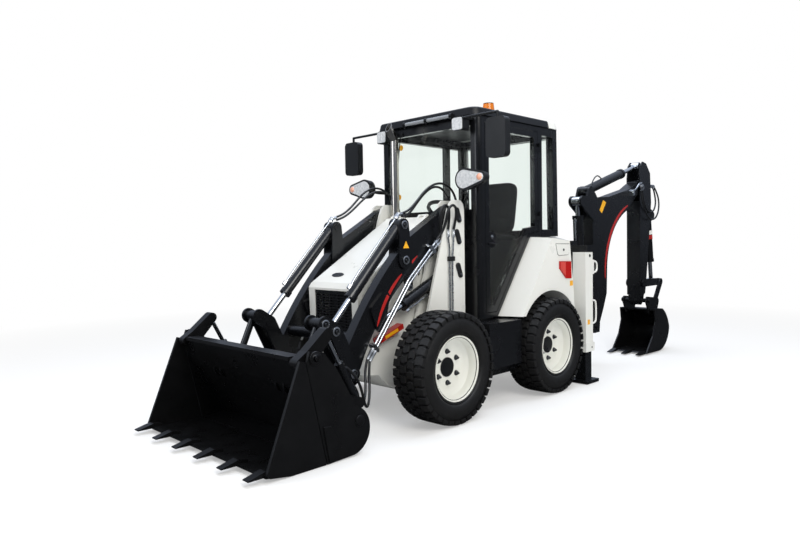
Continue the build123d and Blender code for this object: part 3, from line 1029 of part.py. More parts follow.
def lamp_face(x, inset):
    """Teardrop face of a head lamp, wide towards the middle of the machine."""
    with BuildSketch(across(x)) as outline:
        with Locations((HEAD_LAMP[1] - 55, HEAD_LAMP[2])):
            Circle(76 - inset)
        with Locations((HEAD_LAMP[1] + 95, HEAD_LAMP[2] + 6)):
            Circle(38 - inset)
        make_hull()
    return outline.sketch


with BuildPart() as cab_fittings:
    x, y, z = HEAD_LAMP
    extrude(lamp_face(x - 62, 0), amount=62, taper=-6)
    extrude(lamp_face(x - 9, 9), amount=12, mode=Mode.SUBTRACT)
    tube([(CAB_FRONT, CAB_HALF_WIDTH - 60, z - 30), (x - 100, CAB_HALF_WIDTH - 60, z - 30), (x - 50, y - 40, z - 10)], 14)
    x, y, z = WORK_LAMP
    with BuildSketch(across(x - 45)) as lamp_box:
        with Locations((y, z)):
            RectangleRounded(110, 104, 20)
    extrude(lamp_box.sketch, amount=75)
    block(CAB_FRONT, x - 20, y - 16, y + 16, z - 16, z + 16)
    x, y, z = MIRROR
    with BuildSketch(across(x - MIRROR_SIZE[0] / 2)) as mirror_shell:
        with Locations((y, z)):
            RectangleRounded(MIRROR_SIZE[1], MIRROR_SIZE[2], 34)
    extrude(mirror_shell.sketch, amount=MIRROR_SIZE[0])
    tube([(CAB_FRONT, CAB_HALF_WIDTH - 60, 2168), (x, CAB_HALF_WIDTH - 60, 2168), (x, y, 2168), (x, y, 2110)], 10)
    mirror(about=Plane.XZ)
save(cab_fittings, "cab_fittings")

with BuildPart() as amber_lamps:
    with BuildSketch(level(CAB_TOP + ROOF_HEIGHT)) as beacon_section:
        with Locations(BEACON):
            Circle(48)
    extrude(beacon_section.sketch, amount=70, taper=6)
save(amber_lamps, "amber_lamps")

# Arm lock: the red bar stowed on the chassis side below the left lift cylinder
with BuildPart() as lock_bar:
    plate([(336, 556), (346, 590), (111, 672), (101, 638)], (CHASSIS_HALF_WIDTH + 352) / 2, 352 - CHASSIS_HALF_WIDTH)
save(lock_bar, "lock_bar")

with BuildPart() as tail_lamps:
    plate([(-1375, 1069), (-1550, 1063), (-1555, 918), (-1474, 922), (-1374, 1008)], FENDER_Y + 6, 12)
    mirror(about=Plane.XZ)
save(tail_lamps, "tail_lamps")

with BuildPart() as lamp_lenses:
    x, y, z = WORK_LAMP
    with BuildSketch(across(x + 30)) as lens_face:
        with Locations((y, z)):
            RectangleRounded(96, 90, 16)
    extrude(lens_face.sketch, amount=6)
    extrude(lamp_face(HEAD_LAMP[0] - 9, 9 + GLASS_GAP), amount=14)
    mirror(about=Plane.XZ)
save(lamp_lenses, "lamp_lenses")
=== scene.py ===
"""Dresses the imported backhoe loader: finishes, trim, tyres, hoses, seat and lamps, in a plain studio.

Lengths in the fields are millimetres. A place is written as in the part's source: x from the front axle.
"""

from __future__ import annotations

import json
import logging
from dataclasses import dataclass, field
from enum import Enum

import bmesh
import bpy
import numpy as np
from mathutils import Matrix
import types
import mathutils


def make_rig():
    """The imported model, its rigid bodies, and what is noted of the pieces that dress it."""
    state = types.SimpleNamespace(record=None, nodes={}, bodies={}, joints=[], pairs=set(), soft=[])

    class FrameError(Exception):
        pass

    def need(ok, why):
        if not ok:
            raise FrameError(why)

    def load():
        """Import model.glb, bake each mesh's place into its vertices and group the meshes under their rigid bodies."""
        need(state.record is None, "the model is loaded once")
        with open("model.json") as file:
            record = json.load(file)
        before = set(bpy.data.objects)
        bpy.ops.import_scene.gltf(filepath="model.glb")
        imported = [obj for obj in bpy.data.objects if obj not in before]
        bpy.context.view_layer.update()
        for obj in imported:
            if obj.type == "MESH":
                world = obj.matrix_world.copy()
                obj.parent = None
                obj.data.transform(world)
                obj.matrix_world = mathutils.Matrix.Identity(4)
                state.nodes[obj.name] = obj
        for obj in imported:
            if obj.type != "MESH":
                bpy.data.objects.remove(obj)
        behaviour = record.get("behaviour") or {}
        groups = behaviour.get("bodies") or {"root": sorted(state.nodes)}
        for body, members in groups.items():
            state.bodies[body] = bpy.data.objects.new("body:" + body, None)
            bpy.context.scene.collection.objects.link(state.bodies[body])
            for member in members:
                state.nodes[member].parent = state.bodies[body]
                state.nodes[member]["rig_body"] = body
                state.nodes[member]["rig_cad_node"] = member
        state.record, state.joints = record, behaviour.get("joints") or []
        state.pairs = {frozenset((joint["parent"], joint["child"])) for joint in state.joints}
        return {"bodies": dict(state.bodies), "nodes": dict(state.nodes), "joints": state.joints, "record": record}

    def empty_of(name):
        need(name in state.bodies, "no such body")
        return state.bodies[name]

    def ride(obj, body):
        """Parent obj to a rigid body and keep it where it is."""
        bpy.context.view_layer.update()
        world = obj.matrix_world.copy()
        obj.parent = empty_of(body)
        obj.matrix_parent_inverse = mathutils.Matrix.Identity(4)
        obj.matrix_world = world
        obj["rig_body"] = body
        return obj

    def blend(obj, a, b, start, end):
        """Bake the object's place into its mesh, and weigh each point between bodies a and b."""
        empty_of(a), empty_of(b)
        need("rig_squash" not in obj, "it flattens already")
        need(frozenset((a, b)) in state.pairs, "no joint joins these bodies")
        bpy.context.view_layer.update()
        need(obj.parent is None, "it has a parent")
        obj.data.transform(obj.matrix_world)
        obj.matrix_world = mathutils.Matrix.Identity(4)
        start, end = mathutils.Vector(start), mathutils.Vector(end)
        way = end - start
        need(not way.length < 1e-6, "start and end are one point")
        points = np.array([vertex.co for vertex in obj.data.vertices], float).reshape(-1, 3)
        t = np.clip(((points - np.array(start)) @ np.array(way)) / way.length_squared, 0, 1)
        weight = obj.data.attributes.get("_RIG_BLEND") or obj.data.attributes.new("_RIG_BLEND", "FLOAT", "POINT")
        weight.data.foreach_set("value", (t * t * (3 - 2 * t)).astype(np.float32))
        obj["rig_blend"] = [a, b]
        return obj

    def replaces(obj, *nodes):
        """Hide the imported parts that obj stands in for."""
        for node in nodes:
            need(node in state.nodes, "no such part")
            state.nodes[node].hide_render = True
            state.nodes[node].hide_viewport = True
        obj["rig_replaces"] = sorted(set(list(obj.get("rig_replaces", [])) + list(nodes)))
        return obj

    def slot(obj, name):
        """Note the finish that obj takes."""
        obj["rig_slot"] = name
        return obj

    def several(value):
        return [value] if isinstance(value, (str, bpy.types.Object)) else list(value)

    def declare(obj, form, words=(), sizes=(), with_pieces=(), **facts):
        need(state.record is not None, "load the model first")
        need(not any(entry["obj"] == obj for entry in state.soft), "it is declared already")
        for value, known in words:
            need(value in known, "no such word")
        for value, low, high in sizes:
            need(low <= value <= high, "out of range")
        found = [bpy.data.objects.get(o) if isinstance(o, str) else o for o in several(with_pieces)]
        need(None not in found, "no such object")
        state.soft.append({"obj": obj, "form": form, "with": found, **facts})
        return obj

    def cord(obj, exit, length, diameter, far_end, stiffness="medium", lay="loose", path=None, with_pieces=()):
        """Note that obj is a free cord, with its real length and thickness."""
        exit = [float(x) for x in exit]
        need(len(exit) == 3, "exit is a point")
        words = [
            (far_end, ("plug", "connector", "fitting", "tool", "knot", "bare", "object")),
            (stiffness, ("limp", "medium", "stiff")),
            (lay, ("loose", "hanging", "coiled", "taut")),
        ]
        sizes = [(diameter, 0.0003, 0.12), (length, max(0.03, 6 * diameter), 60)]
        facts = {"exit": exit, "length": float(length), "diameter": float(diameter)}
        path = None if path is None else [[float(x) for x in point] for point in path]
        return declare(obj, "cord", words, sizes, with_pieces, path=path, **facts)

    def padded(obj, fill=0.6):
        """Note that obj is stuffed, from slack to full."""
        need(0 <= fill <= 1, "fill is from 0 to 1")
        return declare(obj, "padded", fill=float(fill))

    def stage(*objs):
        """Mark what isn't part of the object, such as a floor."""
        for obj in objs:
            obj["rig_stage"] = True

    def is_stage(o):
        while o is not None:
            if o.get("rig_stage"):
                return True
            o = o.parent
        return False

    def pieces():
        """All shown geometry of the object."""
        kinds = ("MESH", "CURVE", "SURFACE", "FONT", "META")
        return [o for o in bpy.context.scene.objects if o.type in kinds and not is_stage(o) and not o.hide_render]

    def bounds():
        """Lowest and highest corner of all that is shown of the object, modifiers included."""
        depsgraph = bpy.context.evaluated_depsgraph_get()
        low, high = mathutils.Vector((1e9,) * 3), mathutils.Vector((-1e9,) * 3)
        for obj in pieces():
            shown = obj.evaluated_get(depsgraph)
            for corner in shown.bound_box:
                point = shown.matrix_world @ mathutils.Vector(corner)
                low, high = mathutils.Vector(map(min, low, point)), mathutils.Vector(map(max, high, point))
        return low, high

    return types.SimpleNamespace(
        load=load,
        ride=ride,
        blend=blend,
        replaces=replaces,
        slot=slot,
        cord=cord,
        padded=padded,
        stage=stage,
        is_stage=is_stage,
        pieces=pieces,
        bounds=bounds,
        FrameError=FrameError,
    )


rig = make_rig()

LOG = logging.getLogger("backhoe_loader")
FRONT_AXLE_X = 1163
MM = 0.001
X_AXIS = (1, 0, 0)
Y_AXIS = (0, 1, 0)
Z_AXIS = (0, 0, 1)
SHARP_DEG = 35
WELD_M = 1e-6
SLIVER_M = 1e-7
COAT_ROUGHNESS = 0.08
PANE_IOR = 1.2
LENS_IOR = 1.5
WAVE_PERIOD = 6.28
SPLINE_ORDER = 3
SPLINE_STEPS = 8


def at(x: float, y: float, z: float) -> np.ndarray:
    """A place of the part's source as a point of the shared frame, in metres."""
    return np.array([FRONT_AXLE_X + x, y, z]) * MM


def full_turn(count: int) -> np.ndarray:
    """Even angles once round a circle."""
    return np.linspace(0, 2 * np.pi, count, endpoint=False)


def signed_power(value: np.ndarray, share: float) -> np.ndarray:
    """A power of the value's size with the value's sign, which draws a circle out into its corners."""
    return np.sign(value) * np.abs(value) ** share


def put(name: str, data: bpy.types.ID) -> bpy.types.Object:
    """Add an object for a mesh, curve, lamp or camera to the scene."""
    made = bpy.data.objects.new(name, data)
    bpy.context.scene.collection.objects.link(made)
    return made


def posed(right: np.ndarray, up: np.ndarray, back: np.ndarray, place: tuple) -> Matrix:
    """The matrix of an object whose own axes and place are given."""
    return Matrix([*np.stack([right, up, back, place], 1).tolist(), [0, 0, 0, 1]])


def linear(code: str) -> tuple[float, float, float, float]:
    """Turn an sRGB hex value into linear colour.

    Args:
        code: six hex digits after a hash sign.

    Returns:
        Linear red, green, blue and an alpha of 1.
    """
    srgb = np.array([int(code[i:i + 2], 16) for i in (1, 3, 5)]) / 255
    rgb = np.where(srgb <= 0.04045, srgb / 12.92, ((srgb + 0.055) / 1.055) ** 2.4)
    return (float(rgb[0]), float(rgb[1]), float(rgb[2]), 1)


def add_node(tree: bpy.types.NodeTree, kind: str, inputs: dict | None = None,
             **settings: object) -> bpy.types.Node:
    """Add a shader node with its settings and links.

    Args:
        tree: the node tree that gets the node.
        kind: the node's type name.
        inputs: socket name or index to a value, or to an output socket that is linked to it.
        settings: the node's own properties.

    Returns:
        The new node.
    """
    node = tree.nodes.new(kind)
    for key, value in settings.items():
        setattr(node, key, value)
    for key, value in (inputs or {}).items():
        if isinstance(value, bpy.types.NodeSocket):
            tree.links.new(value, node.inputs[key])
        else:
            node.inputs[key].default_value = value
    return node


class Grain(Enum):
    """How a surface was made, which decides its fine pattern."""

    SPRAYED = "sprayed paint"
    MOULDED = "moulded plastic"
    RUBBER = "cured rubber"
    CAST = "sand cast"
    POLISHED = "polished metal"
    DRAWN = "drawn and plated tube"
    WOVEN = "woven cloth"
    CLEAR = "clear sheet"
    LENS = "moulded lens"
    FLUTED = "plated and fluted bowl"


@dataclass(frozen=True)
class Finish:
    """One real material: its colour, gloss and the size of its patterns in millimetres.

    Attributes:
        name: the finish's own name.
        colour: its sRGB hex value.
        shade: a second hex value that clouds it.
        grain: how the surface was made.
        roughness: the middle of its roughness.
        spread: how far the roughness wanders.
        metallic: 1 for a bare metal.
        cloud_mm: size of the colour's clouds.
        grain_mm: size of the fine pattern, drawn as coarse as it needs to show.
        relief_mm: depth of the fine pattern.
        coat: weight of a clear coat.
        gloss: strength of the plain reflection, 0.5 for a common plastic.
    """

    name: str
    colour: str
    shade: str
    grain: Grain
    roughness: float
    spread: float = 0.06
    metallic: float = 0
    cloud_mm: float = 400
    grain_mm: float = 6
    relief_mm: float = 0.1
    coat: float = 0
    gloss: float = 0.5

    def material(self) -> bpy.types.Material:
        """The Blender material of this finish, made on first use."""
        made = bpy.data.materials.get(self.name)
        if made is None:
            made = bpy.data.materials.new(self.name)
            made.use_nodes = True
            made.diffuse_color = linear(self.colour)
            self.fill(made.node_tree)
        return made

    def fill(self, tree: bpy.types.NodeTree) -> None:
        """Wire clouds of colour, wandering roughness and a fine relief into the shader.

        Args:
            tree: the material's node tree.
        """
        shader = tree.nodes["Principled BSDF"]
        plain = {"Metallic": self.metallic, "Coat Weight": self.coat, "Coat Roughness": COAT_ROUGHNESS,
                 "Specular IOR Level": self.gloss}
        if self.grain in (Grain.CLEAR, Grain.LENS):
            plain["Transmission Weight"] = 1
            plain["IOR"] = PANE_IOR if self.grain is Grain.CLEAR else LENS_IOR
        for socket, value in plain.items():
            shader.inputs[socket].default_value = value
        place = add_node(tree, "ShaderNodeTexCoord").outputs["Object"]
        noise = add_node(tree, "ShaderNodeTexNoise", {
            "Vector": place, "Scale": 1 / (self.cloud_mm * MM), "Detail": 5, "Roughness": 0.6})
        clouds = noise.outputs["Fac"]
        tint = add_node(tree, "ShaderNodeMix", {
            "Factor": clouds, "A": linear(self.colour), "B": linear(self.shade)}, data_type="RGBA")
        wander = add_node(tree, "ShaderNodeMapRange", {
            "Value": clouds, "From Min": 0.3, "From Max": 0.7,
            "To Min": self.roughness - self.spread, "To Max": self.roughness + self.spread})
        tree.links.new(tint.outputs["Result"], shader.inputs["Base Color"])
        tree.links.new(wander.outputs["Result"], shader.inputs["Roughness"])
        height = self.relief(tree, place)
        if height is not None:
            bump = add_node(tree, "ShaderNodeBump", {
                "Height": height, "Strength": 0.6, "Distance": self.relief_mm * MM})
            tree.links.new(bump.outputs["Normal"], shader.inputs["Normal"])

    def relief(self, tree: bpy.types.NodeTree, place: bpy.types.NodeSocket) -> bpy.types.NodeSocket | None:
        """The height pattern that goes with the way the surface was made.

        Args:
            tree: the material's node tree.
            place: the piece's own coordinates, in metres.

        Returns:
            An output socket with the height, or None for a smooth sheet.
        """
        scale = 1 / (self.grain_mm * MM)
        if self.grain is Grain.CLEAR:
            return None
        if self.grain in (Grain.WOVEN, Grain.LENS, Grain.FLUTED):
            waves = []
            for axis in ("X", "Y", "Z"):
                wave = add_node(tree, "ShaderNodeTexWave", {
                    "Vector": place, "Scale": scale / WAVE_PERIOD, "Distortion": 0.3}, bands_direction=axis)
                waves.append(wave.outputs["Fac"])
            top = waves[0]
            for wave in waves[1:]:
                top = add_node(tree, "ShaderNodeMath", {0: top, 1: wave}, operation="MAXIMUM").outputs[0]
            return top
        if self.grain in (Grain.MOULDED, Grain.CAST):
            cells = add_node(tree, "ShaderNodeTexVoronoi", {"Vector": place, "Scale": scale})
            return cells.outputs["Distance"]
        peel = add_node(tree, "ShaderNodeTexNoise", {"Vector": place, "Scale": scale, "Detail": 3})
        return peel.outputs["Fac"]


# Two-pack gloss paint on sheet steel: an even white with a soft orange peel under the gloss
WHITE_PAINT = Finish("white_gloss_paint", "#E8E8E3", "#DFDFD9", Grain.SPRAYED,
                     0.30, 0.05, 0, 500, 9, 0.05, 0.35)
# The same paint in black on welded plate, a little softer, with a blue-grey sheen in the light
BLACK_PAINT = Finish("black_gloss_paint", "#0B0C0E", "#101114", Grain.SPRAYED,
                     0.27, 0.06, 0, 350, 9, 0.06, 0, 0.45)
# Black chassis paint on the bucket, flatter, with the marks of loading
BUCKET_PAINT = Finish("black_bucket_paint", "#0A0A0B", "#101011", Grain.SPRAYED,
                      0.34, 0.10, 0, 160, 14, 0.12, 0, 0.28)
# Stoved red enamel of the stowed lock bar, the stripes and the barrel band
RED_PAINT = Finish("red_enamel", "#B21F1B", "#A51B18", Grain.SPRAYED, 0.32, 0.05, 0, 120, 6, 0.05, 0.3)
# Yellow vinyl film of the blank plates and the reflectors
YELLOW_FILM = Finish("yellow_film", "#F0B01C", "#EAA614", Grain.SPRAYED, 0.4, 0.05, 0, 60, 5, 0.03)
# White wheel enamel, slightly warmer than the bodywork
RIM_PAINT = Finish("white_wheel_enamel", "#E4E4DC", "#D9D9D0", Grain.SPRAYED,
                   0.36, 0.06, 0, 120, 8, 0.06, 0.15)
# Cured tyre rubber: matt, dusty in the hollows, with a fine mould texture
TYRE_RUBBER = Finish("cured_tyre_rubber", "#121212", "#1B1A19", Grain.RUBBER,
                     0.55, 0.10, 0, 60, 5, 0.25, 0, 0.35)
# Moulded polypropylene with a fine leather grain, drawn at 4 mm so that it shows
BLACK_PLASTIC = Finish("black_moulding", "#0F1012", "#151618", Grain.MOULDED,
                       0.42, 0.06, 0, 200, 4, 0.12, 0, 0.25)
# Grey moulded mirror backs and lamp shells
GREY_PLASTIC = Finish("grey_moulding", "#17181A", "#1D1F21", Grain.MOULDED,
                      0.42, 0.06, 0, 150, 4, 0.12, 0, 0.3)
# Matt black rubber of the filler's seal, the line clamp and the pin keepers
SEAL_RUBBER = Finish("seal_rubber", "#131314", "#1A1A1B", Grain.RUBBER, 0.6, 0.08, 0, 40, 3, 0.1)
# Braided hydraulic hose under a smooth rubber cover
HOSE_RUBBER = Finish("hose_rubber", "#121314", "#191A1B", Grain.RUBBER, 0.42, 0.08, 0, 40, 3, 0.08)
# Light grey plastic sleeve of the bar over the screen
BAR_GREY = Finish("bar_grey", "#8E9296", "#85898D", Grain.MOULDED, 0.42, 0.05, 0, 80, 4, 0.05)
# Toughened glass with the usual green-grey body tint
CAB_GLASS = Finish("tinted_glass", "#F7FBF9", "#F4F9F6", Grain.CLEAR, 0.02, 0.01)
# Hard-chromed rod: a mirror with faint grinding
ROD_CHROME = Finish("hard_chrome", "#D0D2D4", "#C6C8CA", Grain.POLISHED, 0.14, 0.04, 1, 60, 3, 0.02)
# Zinc-plated pipe and fittings, brighter and a little duller than chrome
ZINC_PLATE = Finish("zinc_plate", "#C9CCCE", "#B8BBBE", Grain.DRAWN, 0.28, 0.06, 1, 40, 3, 0.04)
# Polished stainless exhaust with a faint straw tint
STAINLESS = Finish("polished_stainless", "#D2CEC6", "#C2BBAF", Grain.POLISHED,
                   0.16, 0.05, 1, 120, 4, 0.03)
# Phosphated dark steel of wheel nuts, bolt heads, the filler's lock and the badge
DARK_STEEL = Finish("phosphated_steel", "#4A4C4F", "#3C3E41", Grain.DRAWN, 0.42, 0.08, 0.9, 30, 3, 0.05)
# Grey cast iron under a thin coat of engine paint
CAST_IRON = Finish("cast_iron", "#3D3F42", "#2F3133", Grain.CAST, 0.62, 0.08, 0.3, 90, 4, 0.35)
# Woven seat cloth, thread drawn at 5 mm so that it shows
SEAT_CLOTH = Finish("seat_cloth", "#151719", "#101214", Grain.WOVEN, 0.85, 0.05, 0, 120, 5, 0.5, 0, 0.1)
# Amber polycarbonate
AMBER_LENS = Finish("amber_polycarbonate", "#F08A18", "#EA7C0E", Grain.LENS, 0.16, 0.03, 0, 60, 9, 0.3)
# Amber acrylic of the lamps' outer ends, over a bright backing
AMBER_CAP = Finish("amber_acrylic", "#EDB296", "#E7A184", Grain.SPRAYED, 0.14, 0.03, 0, 60, 9, 0.1, 0.6)
# Red acrylic of the tail lamps
RED_ACRYLIC = Finish("red_acrylic", "#B81A16", "#A81512", Grain.SPRAYED, 0.14, 0.03, 0, 60, 9, 0.2, 0.6)
# A paler copy of the tail lamps' red acrylic: a painted highlight where the faceted lens catches the light
TAIL_LAMP_PAINTED_HIGHLIGHT = Finish("red_acrylic_painted_highlight", "#D6524A", "#CB463F", Grain.SPRAYED, 0.14, 0.03, 0, 60, 9, 0.2, 0.6)
# Plated and fluted bowl of the head and work lamps, under a clear cover, drawn as coated white with grey clouds and no
# metal: a painted reflection of its plating
LAMP_BOWL_PAINTED_REFLECTION = Finish("fluted_lamp_painted_reflection", "#FFFFFF", "#8C949A", Grain.FLUTED, 0.16, 0.04, 0, 18, 17, 1.6, 1)
# Silvered glass of the mirrors
LAMP_MIRROR = Finish("lamp_reflector", "#E6E8EA", "#DCDEE0", Grain.POLISHED, 0.08, 0.02, 1, 60, 6, 0.02)

NODE_FINISHES: dict[str, Finish] = {
    **dict.fromkeys(("chassis", "side_panels", "hood", "rear_body", "stabilizer_columns", "roof_rear"),
                    WHITE_PAINT),
    **dict.fromkeys(("cab_frame", "door_left", "loader_arms", "lift_barrels", "tilt_levers", "tilt_links",
                     "tilt_barrels", "clam_barrels", "carriage", "swing_post", "boom", "boom_barrel",
                     "dipper", "dipper_barrel", "hoe_barrel", "hoe_rocker", "hoe_link", "axle_hubs",
                     "rear_frame", "stabilizer_left", "stabilizer_right", "step_boxes"), BLACK_PAINT),
    **dict.fromkeys(("bucket_shell", "bucket_jaw", "hoe_bucket"), BUCKET_PAINT),
    **dict.fromkeys(("cab_roof", "grille", "cab_controls"), BLACK_PLASTIC),
    **dict.fromkeys(("lift_rods", "tilt_rods", "clam_rods", "boom_rod", "dipper_rod", "hoe_rod"),
                    ROD_CHROME),
    **dict.fromkeys(("cab_glass", "door_glass"), CAB_GLASS),
    "cab_fittings": GREY_PLASTIC,
    "arm_pipes": ZINC_PLATE,
    "exhaust": STAINLESS,
    "engine_block": CAST_IRON,
    "lock_bar": RED_PAINT,
    "amber_lamps": AMBER_LENS,
    "tail_lamps": RED_ACRYLIC,
    "lamp_lenses": LAMP_BOWL_PAINTED_REFLECTION,
}


@dataclass
class Surface:
    """Points and faces gathered for one piece before its mesh is made."""

    points: list[np.ndarray] = field(default_factory=list)
    faces: list[list[int]] = field(default_factory=list)
    count: int = 0

    def grid(self, net: np.ndarray, wrap_u: bool = False, wrap_v: bool = False,
             caps: bool = False) -> "Surface":
        """Add a net of points as quads.

        Args:
            net: points of shape (rows, columns, 3), in metres.
            wrap_u: join the last row to the first.
            wrap_v: join the last column to the first.
            caps: close the first and last rows with one face each.

        Returns:
            This surface.
        """
        rows, columns = net.shape[:2]
        index = np.arange(rows * columns).reshape(rows, columns) + self.count
        down = index if wrap_u else index[:-1]
        next_row = np.roll(index, -1, 0)[:down.shape[0]]
        quads = np.stack([down, next_row, np.roll(next_row, -1, 1), np.roll(down, -1, 1)], -1)
        quads = quads if wrap_v else quads[:, :-1]
        self.faces.extend(quads.reshape(-1, 4).tolist())
        if caps:
            self.faces.append(index[0][::-1].tolist())
            self.faces.append(index[-1].tolist())
        self.points.append(net.reshape(-1, 3))
        self.count += rows * columns
        return self

    def lathe(self, profile: list | np.ndarray, origin: np.ndarray, axis: tuple, segments: int,
              ring: bool = False) -> "Surface":
        """Add a turned shape: each profile point (radius, height) goes round the axis.

        Args:
            profile: rows of radius and height, in millimetres; a radius of 0 closes the end.
            origin: the point at height 0, in metres.
            axis: the direction of height.
            segments: steps round the axis.
            ring: the profile is a closed loop, as on a tyre.

        Returns:
            This surface.
        """
        up, first, second = frame_of(np.array(axis, float))
        angle = full_turn(segments)
        round_ = np.cos(angle)[:, None] * first + np.sin(angle)[:, None] * second
        profile = np.asarray(profile, float) * MM
        net = origin + profile[:, 0, None, None] * round_ + profile[:, 1, None, None] * up
        return self.grid(net, wrap_u=ring, wrap_v=True, caps=not ring)

    def turned(self, steps: list, origin: np.ndarray, axis: tuple, segments: int) -> "Surface":
        """Add a solid turned shape, closed on its axis at both ends.

        Args:
            steps: rows of radius and height, in millimetres.
            origin: the point at height 0, in metres.
            axis: the direction of height.
            segments: steps round the axis.

        Returns:
            This surface.
        """
        return self.lathe([(0, steps[0][1]), *steps, (0, steps[-1][1])], origin, axis, segments)

    def tube(self, path: list | np.ndarray, radius: float, sides: int = 12) -> "Surface":
        """Add a round tube: a circle carried along a path in planes across it.

        Args:
            path: points of the centre line, in metres.
            radius: the tube's radius, in millimetres.
            sides: steps round the tube.

        Returns:
            This surface.
        """
        path = np.asarray(path, float)
        along = np.gradient(path, axis=0)
        along /= np.linalg.norm(along, axis=1)[:, None]
        spread = np.linalg.svd(path - path.mean(0), full_matrices=True)[2][2]
        side = np.cross(along, spread)
        side /= np.linalg.norm(side, axis=1)[:, None]
        other = np.cross(along, side)
        angle = full_turn(sides)
        ring = np.cos(angle)[:, None, None] * side + np.sin(angle)[:, None, None] * other
        net = path + radius * MM * ring
        return self.grid(net.transpose(1, 0, 2), wrap_v=True, caps=True)

    def prism(self, outline: list | np.ndarray, shift: tuple | np.ndarray) -> "Surface":
        """Add a flat-ended block: a closed outline and its copy moved by a shift."""
        outline = np.asarray(outline, float)
        return self.grid(np.stack([outline, outline + shift]), wrap_v=True, caps=True)

    def plate(self, outline: list | np.ndarray, y0: float, y1: float) -> "Surface":
        """Add a plate in the machine's side view, from one y to another."""
        return self.prism([at(x, y0, z) for x, z in outline], (0, (y1 - y0) * MM, 0))

    def ribbon(self, line: np.ndarray, widths: np.ndarray, y0: float, y1: float) -> "Surface":
        """Add a flat band in the side view: its edges lie half a width from a line, along its normals.

        Args:
            line: rows of x and z, in millimetres.
            widths: the band's width at each row.
            y0: where its back lies.
            y1: where its front lies.

        Returns:
            This surface.
        """
        along = np.gradient(line, axis=0)
        along /= np.linalg.norm(along, axis=1)[:, None]
        across = np.stack([-along[:, 1], along[:, 0]], 1) * np.asarray(widths)[:, None] / 2
        edges = ((line + across, y0), (line + across, y1), (line - across, y1), (line - across, y0))
        net = np.stack([np.insert(edge, 1, y, axis=1) for edge, y in edges], 1)
        return self.grid((net + [FRONT_AXLE_X, 0, 0]) * MM, wrap_v=True, caps=True)

    def piece(self, name: str, body: str | None, finish: Finish, slot: str,
              bevel: float = 0) -> bpy.types.Object:
        """Make the mesh object, dress it and let it ride on a body.

        Args:
            name: the piece's name.
            body: the CAD body that carries it, or None for a hose that bends between two.
            finish: its finish.
            slot: the record's material slot that it belongs to.
            bevel: width of rounded edges in millimetres, or 0.

        Returns:
            The new object.
        """
        mesh = bpy.data.meshes.new(name)
        mesh.from_pydata(np.concatenate(self.points).tolist(), [], self.faces)
        work = bmesh.new()
        work.from_mesh(mesh)
        bmesh.ops.remove_doubles(work, verts=work.verts, dist=WELD_M)
        bmesh.ops.dissolve_degenerate(work, edges=work.edges, dist=SLIVER_M)
        bmesh.ops.recalc_face_normals(work, faces=work.faces)
        work.to_mesh(mesh)
        work.free()
        mesh.polygons.foreach_set("use_smooth", np.ones(len(mesh.polygons), bool))
        mesh.set_sharp_from_angle(angle=np.radians(SHARP_DEG))
        mesh.materials.append(finish.material())
        made = put(name, mesh)
        if bevel:
            rounding = made.modifiers.new("round", "BEVEL")
            rounding.width = bevel * MM
            rounding.segments = 2
            rounding.limit_method = "ANGLE"
        if body:
            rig.ride(made, body)
        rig.slot(made, slot)
        LOG.info("%s made for %s", name, body or "two bodies")
        return made


def frame_of(axis: np.ndarray) -> tuple[np.ndarray, np.ndarray, np.ndarray]:
    """Three unit vectors at right angles, the first along an axis.

    Args:
        axis: any direction.

    Returns:
        The axis and two vectors across it.
    """
    up = axis / np.linalg.norm(axis)
    other = np.array(Z_AXIS) if abs(up[2]) < 0.9 else np.array(X_AXIS)
    first = np.cross(other, up)
    first /= np.linalg.norm(first)
    return up, first, np.cross(up, first)


def smooth_path(points: list[tuple[float, float, float]]) -> np.ndarray:
    """The line of an open NURBS spline that starts and ends on its control points.

    Args:
        points: control points as in the part's source, in millimetres.

    Returns:
        Points along the spline, in metres.
    """
    curve = bpy.data.curves.new("route", "CURVE")
    curve.dimensions = "3D"
    curve.resolution_u = SPLINE_STEPS
    spline = curve.splines.new("NURBS")
    spline.points.add(len(points) - 1)
    flat = np.array([[*at(*p), 1] for p in points]).ravel()
    spline.points.foreach_set("co", flat)
    spline.order_u = SPLINE_ORDER
    spline.use_endpoint_u = True
    holder = put("route", curve)
    mesh = bpy.data.meshes.new_from_object(holder.evaluated_get(bpy.context.evaluated_depsgraph_get()))
    line = np.zeros(len(mesh.vertices) * 3)
    mesh.vertices.foreach_get("co", line)
    bpy.data.objects.remove(holder)
    bpy.data.curves.remove(curve)
    bpy.data.meshes.remove(mesh)
    return line.reshape(-1, 3)


